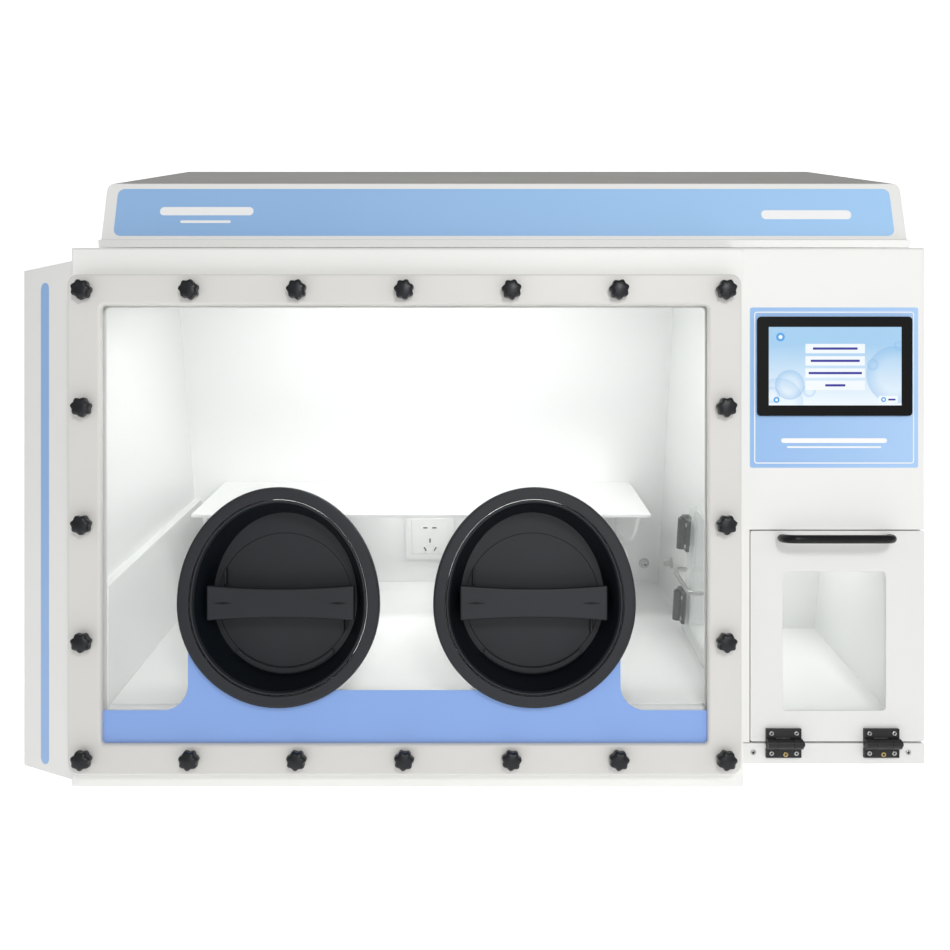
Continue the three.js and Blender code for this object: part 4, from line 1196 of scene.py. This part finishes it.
# ---------------------------------------------------------------- chamber
# The white inner box, its lift-out floor plate, the shelf on its two console brackets, and
# small plastic gas nozzles on the back and right walls.
LINER_WALL = 0.004
chamber_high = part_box("chamber_liner")[1]
liner_coat = coated(
    "liner_coat", (0.90, 0.91, 0.90), shade=0.03, patch=2.5, grain=700.0, height=0.00002,
    rough=0.35,
)
for node, name, edge in (
    ("chamber_liner", "chamber_shell", 0.0015), ("airlock_liner", "airlock_shell", 0.0012),
    ("shelf", "shelf_plate", 0.0010), ("floor_plate", "floor_tray", 0.0008),
):
    cover(node, name, liner_coat, "liner_white", edge=edge)

nozzle_plastic = coated("nozzle_plastic", (0.55, 0.56, 0.54), shade=0.1, grain=900.0, rough=0.4)


def gas_nozzle(name, frame_of_wall):
    """A short nozzle on a round flange, standing out along -y of a wall's frame."""
    form = turned([
        (0, 0.0002), (0.0095, 0.0002), (0.0095, -0.0015), (0.0088, -0.0022), (0.0058, -0.0026),
        (0.0052, -0.0120), (0.0044, -0.0130), (0.0030, -0.0130), (0.0030, -0.0040), (0, -0.0040),
    ], closed=False, steps=32)
    return piece(placed(form, frame_of_wall), name, [nozzle_plastic], "case")


back_wall = chamber_high.y - LINER_WALL
right_wall = chamber_high.x - LINER_WALL
gas_nozzle("gas_nozzle_back", Matrix.Translation((0.316, back_wall, 0.158)))
gas_nozzle("gas_nozzle_right", Matrix.Translation((right_wall, 0.075, 0.193)) @ sideways)

# The five-hole mains socket is a white moulded plate, its holes painted dark inside as shade.
socket_white = coated(
    "socket_white", (0.86, 0.86, 0.84), shade=0.02, grain=1200.0, height=0.00001, rough=0.28,
)
socket_low, socket_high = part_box("wall_socket")
socket_form = finished_copy("wall_socket", edge=0.0006)
for face in socket_form.faces:
    spot = face.calc_center_median()
    inside = min(
        spot.x - socket_low.x, socket_high.x - spot.x,
        spot.z - socket_low.z, socket_high.z - spot.z,
    )
    if inside > 0.004 and socket_low.y + 0.0007 < spot.y < socket_high.y - 0.001:
        face.material_index = 1
SOCKET_RIM = 0.010
socket_frame = outline_ring(
    (socket_low.x + SOCKET_RIM, socket_high.x - SOCKET_RIM),
    (socket_low.z + SOCKET_RIM, socket_high.z - SOCKET_RIM),
    0.002, 0.0012, socket_low.y - 0.0006, socket_low.y + 0.0002,
)
piece(
    joined(socket_form, socket_frame), "socket_plate", [socket_white, recess_shade_and_inlet_black], "case",
    ["wall_socket"],
)

# ---------------------------------------------------------------- chamber lamp
# A slim opal batten under the ceiling, with white end caps. It lights the whole chamber.
lamp_low, lamp_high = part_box("chamber_lamp")
CAP = 0.018
LAMP_GLOW = 12.0
opal = coated("opal_diffuser", (0.9, 0.9, 0.9), shade=0.05, patch=20.0, grain=500.0, rough=0.5)
opal_tree = opal.node_tree
opal_shader = opal_tree.nodes["Principled BSDF"]
opal_tree.links.new(group_in(opal_tree).outputs["Colour"], opal_shader.inputs["Emission Color"])
opal_shader.inputs["Emission Strength"].default_value = LAMP_GLOW
lamp_form = finished_copy("chamber_lamp", edge=0.003)
for end in (lamp_low.x + CAP, lamp_high.x - CAP):
    bmesh.ops.bisect_plane(
        lamp_form, geom=[*lamp_form.verts, *lamp_form.edges, *lamp_form.faces],
        plane_co=(end, 0, 0), plane_no=(1, 0, 0),
    )
for face in lamp_form.faces:
    x = face.calc_center_median().x
    if x < lamp_low.x + CAP or x > lamp_high.x - CAP:
        face.material_index = 1
piece(lamp_form, "lamp_batten", [opal, socket_white], "case", ["chamber_lamp"])

# ---------------------------------------------------------------- inner door
# A clear acrylic flap over the doorway between chamber and airlock, on two hinges like the
# outer ones, with a bent steel handle.
wall_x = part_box("inner_door")[0].x
wall_turn = Matrix(((0, 1, 0), (0, 0, 1), (1, 0, 0))).to_4x4()
wall_face = Matrix.Translation((wall_x, 0, 0)) @ wall_turn
wears("inner_door", clear_sheet("inner_acrylic", (0.80, 0.90, 0.87), 0.16, 0.5))
for number in (1, 2):
    moving, fixed = (f"inner_hinge_{number}_{part}" for part in ("door", "wall"))
    hinge_leaf(moving, f"flap_hinge_{number}_leaf", wall_face, "inner_door", -1)
    hinge_leaf(fixed, f"flap_hinge_{number}_base", wall_face, "case", 1)
smooth_bar("inner_door_handle", "flap_handle", bright_steel, "inner_door", "bright_steel")

# ---------------------------------------------------------------- rear panel and feet
# A coated plate with louvre slots closes the back. It carries three brass gas inlets and a
# black mains inlet, and is held by screws. Four rubber feet stand under the case.
panel_low, panel_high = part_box("rear_panel")
PLATE_BACK = case_high.y + 0.0023
rear_form = finished_copy("rear_panel", edge=0.0004)
for face in rear_form.faces:
    spot = face.calc_center_median()
    if spot.y > PLATE_BACK + 0.0002:
        face.material_index = 1 if spot.z > 0.1 else 2
rear_face = Matrix.Translation((0, PLATE_BACK, 0)) @ Matrix.Rotation(math.pi, 4, "Z")
RIM = 0.012
rear_screws = []
for share in range(7):
    x = panel_low.x + RIM + (panel_high.x - panel_low.x - 2 * RIM) * share / 6
    for z in (panel_low.z + RIM, panel_high.z - RIM):
        rear_screws.append(screw(-x, z, 0, metal=3))
for x in (panel_low.x + RIM, panel_high.x - RIM):
    for share in (1, 2, 3):
        z = panel_low.z + (panel_high.z - panel_low.z) * share / 4
        rear_screws.append(screw(-x, z, 0, metal=3))
piece(
    joined(rear_form, placed(joined(*rear_screws), rear_face)), "rear_plate",
    [powder_coat, brass, recess_shade_and_inlet_black, bright_steel], "case", ["rear_panel"],
)

for number in (1, 2, 3, 4):
    foot_low, foot_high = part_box(f"foot_{number}")
    radius = (foot_high.x - foot_low.x) / 2
    rubber_foot = turned([
        (0, foot_low.z), (radius - 0.004, foot_low.z), (radius - 0.001, foot_low.z + 0.0012),
        (radius, foot_low.z + 0.004), (radius - 0.0015, foot_low.z + 0.007),
        (radius - 0.002, foot_high.z - 0.003), (radius - 0.003, foot_high.z), (0, foot_high.z),
    ], closed=False, steps=48)
    middle = (foot_low + foot_high) / 2
    stand_up = Matrix.Translation((middle.x, middle.y, 0)) @ Matrix.Rotation(math.pi / 2, 4, "X")
    piece(
        placed(rubber_foot, stand_up), f"rubber_foot_{number}", [black_rubber], "case",
        [f"foot_{number}"],
    )
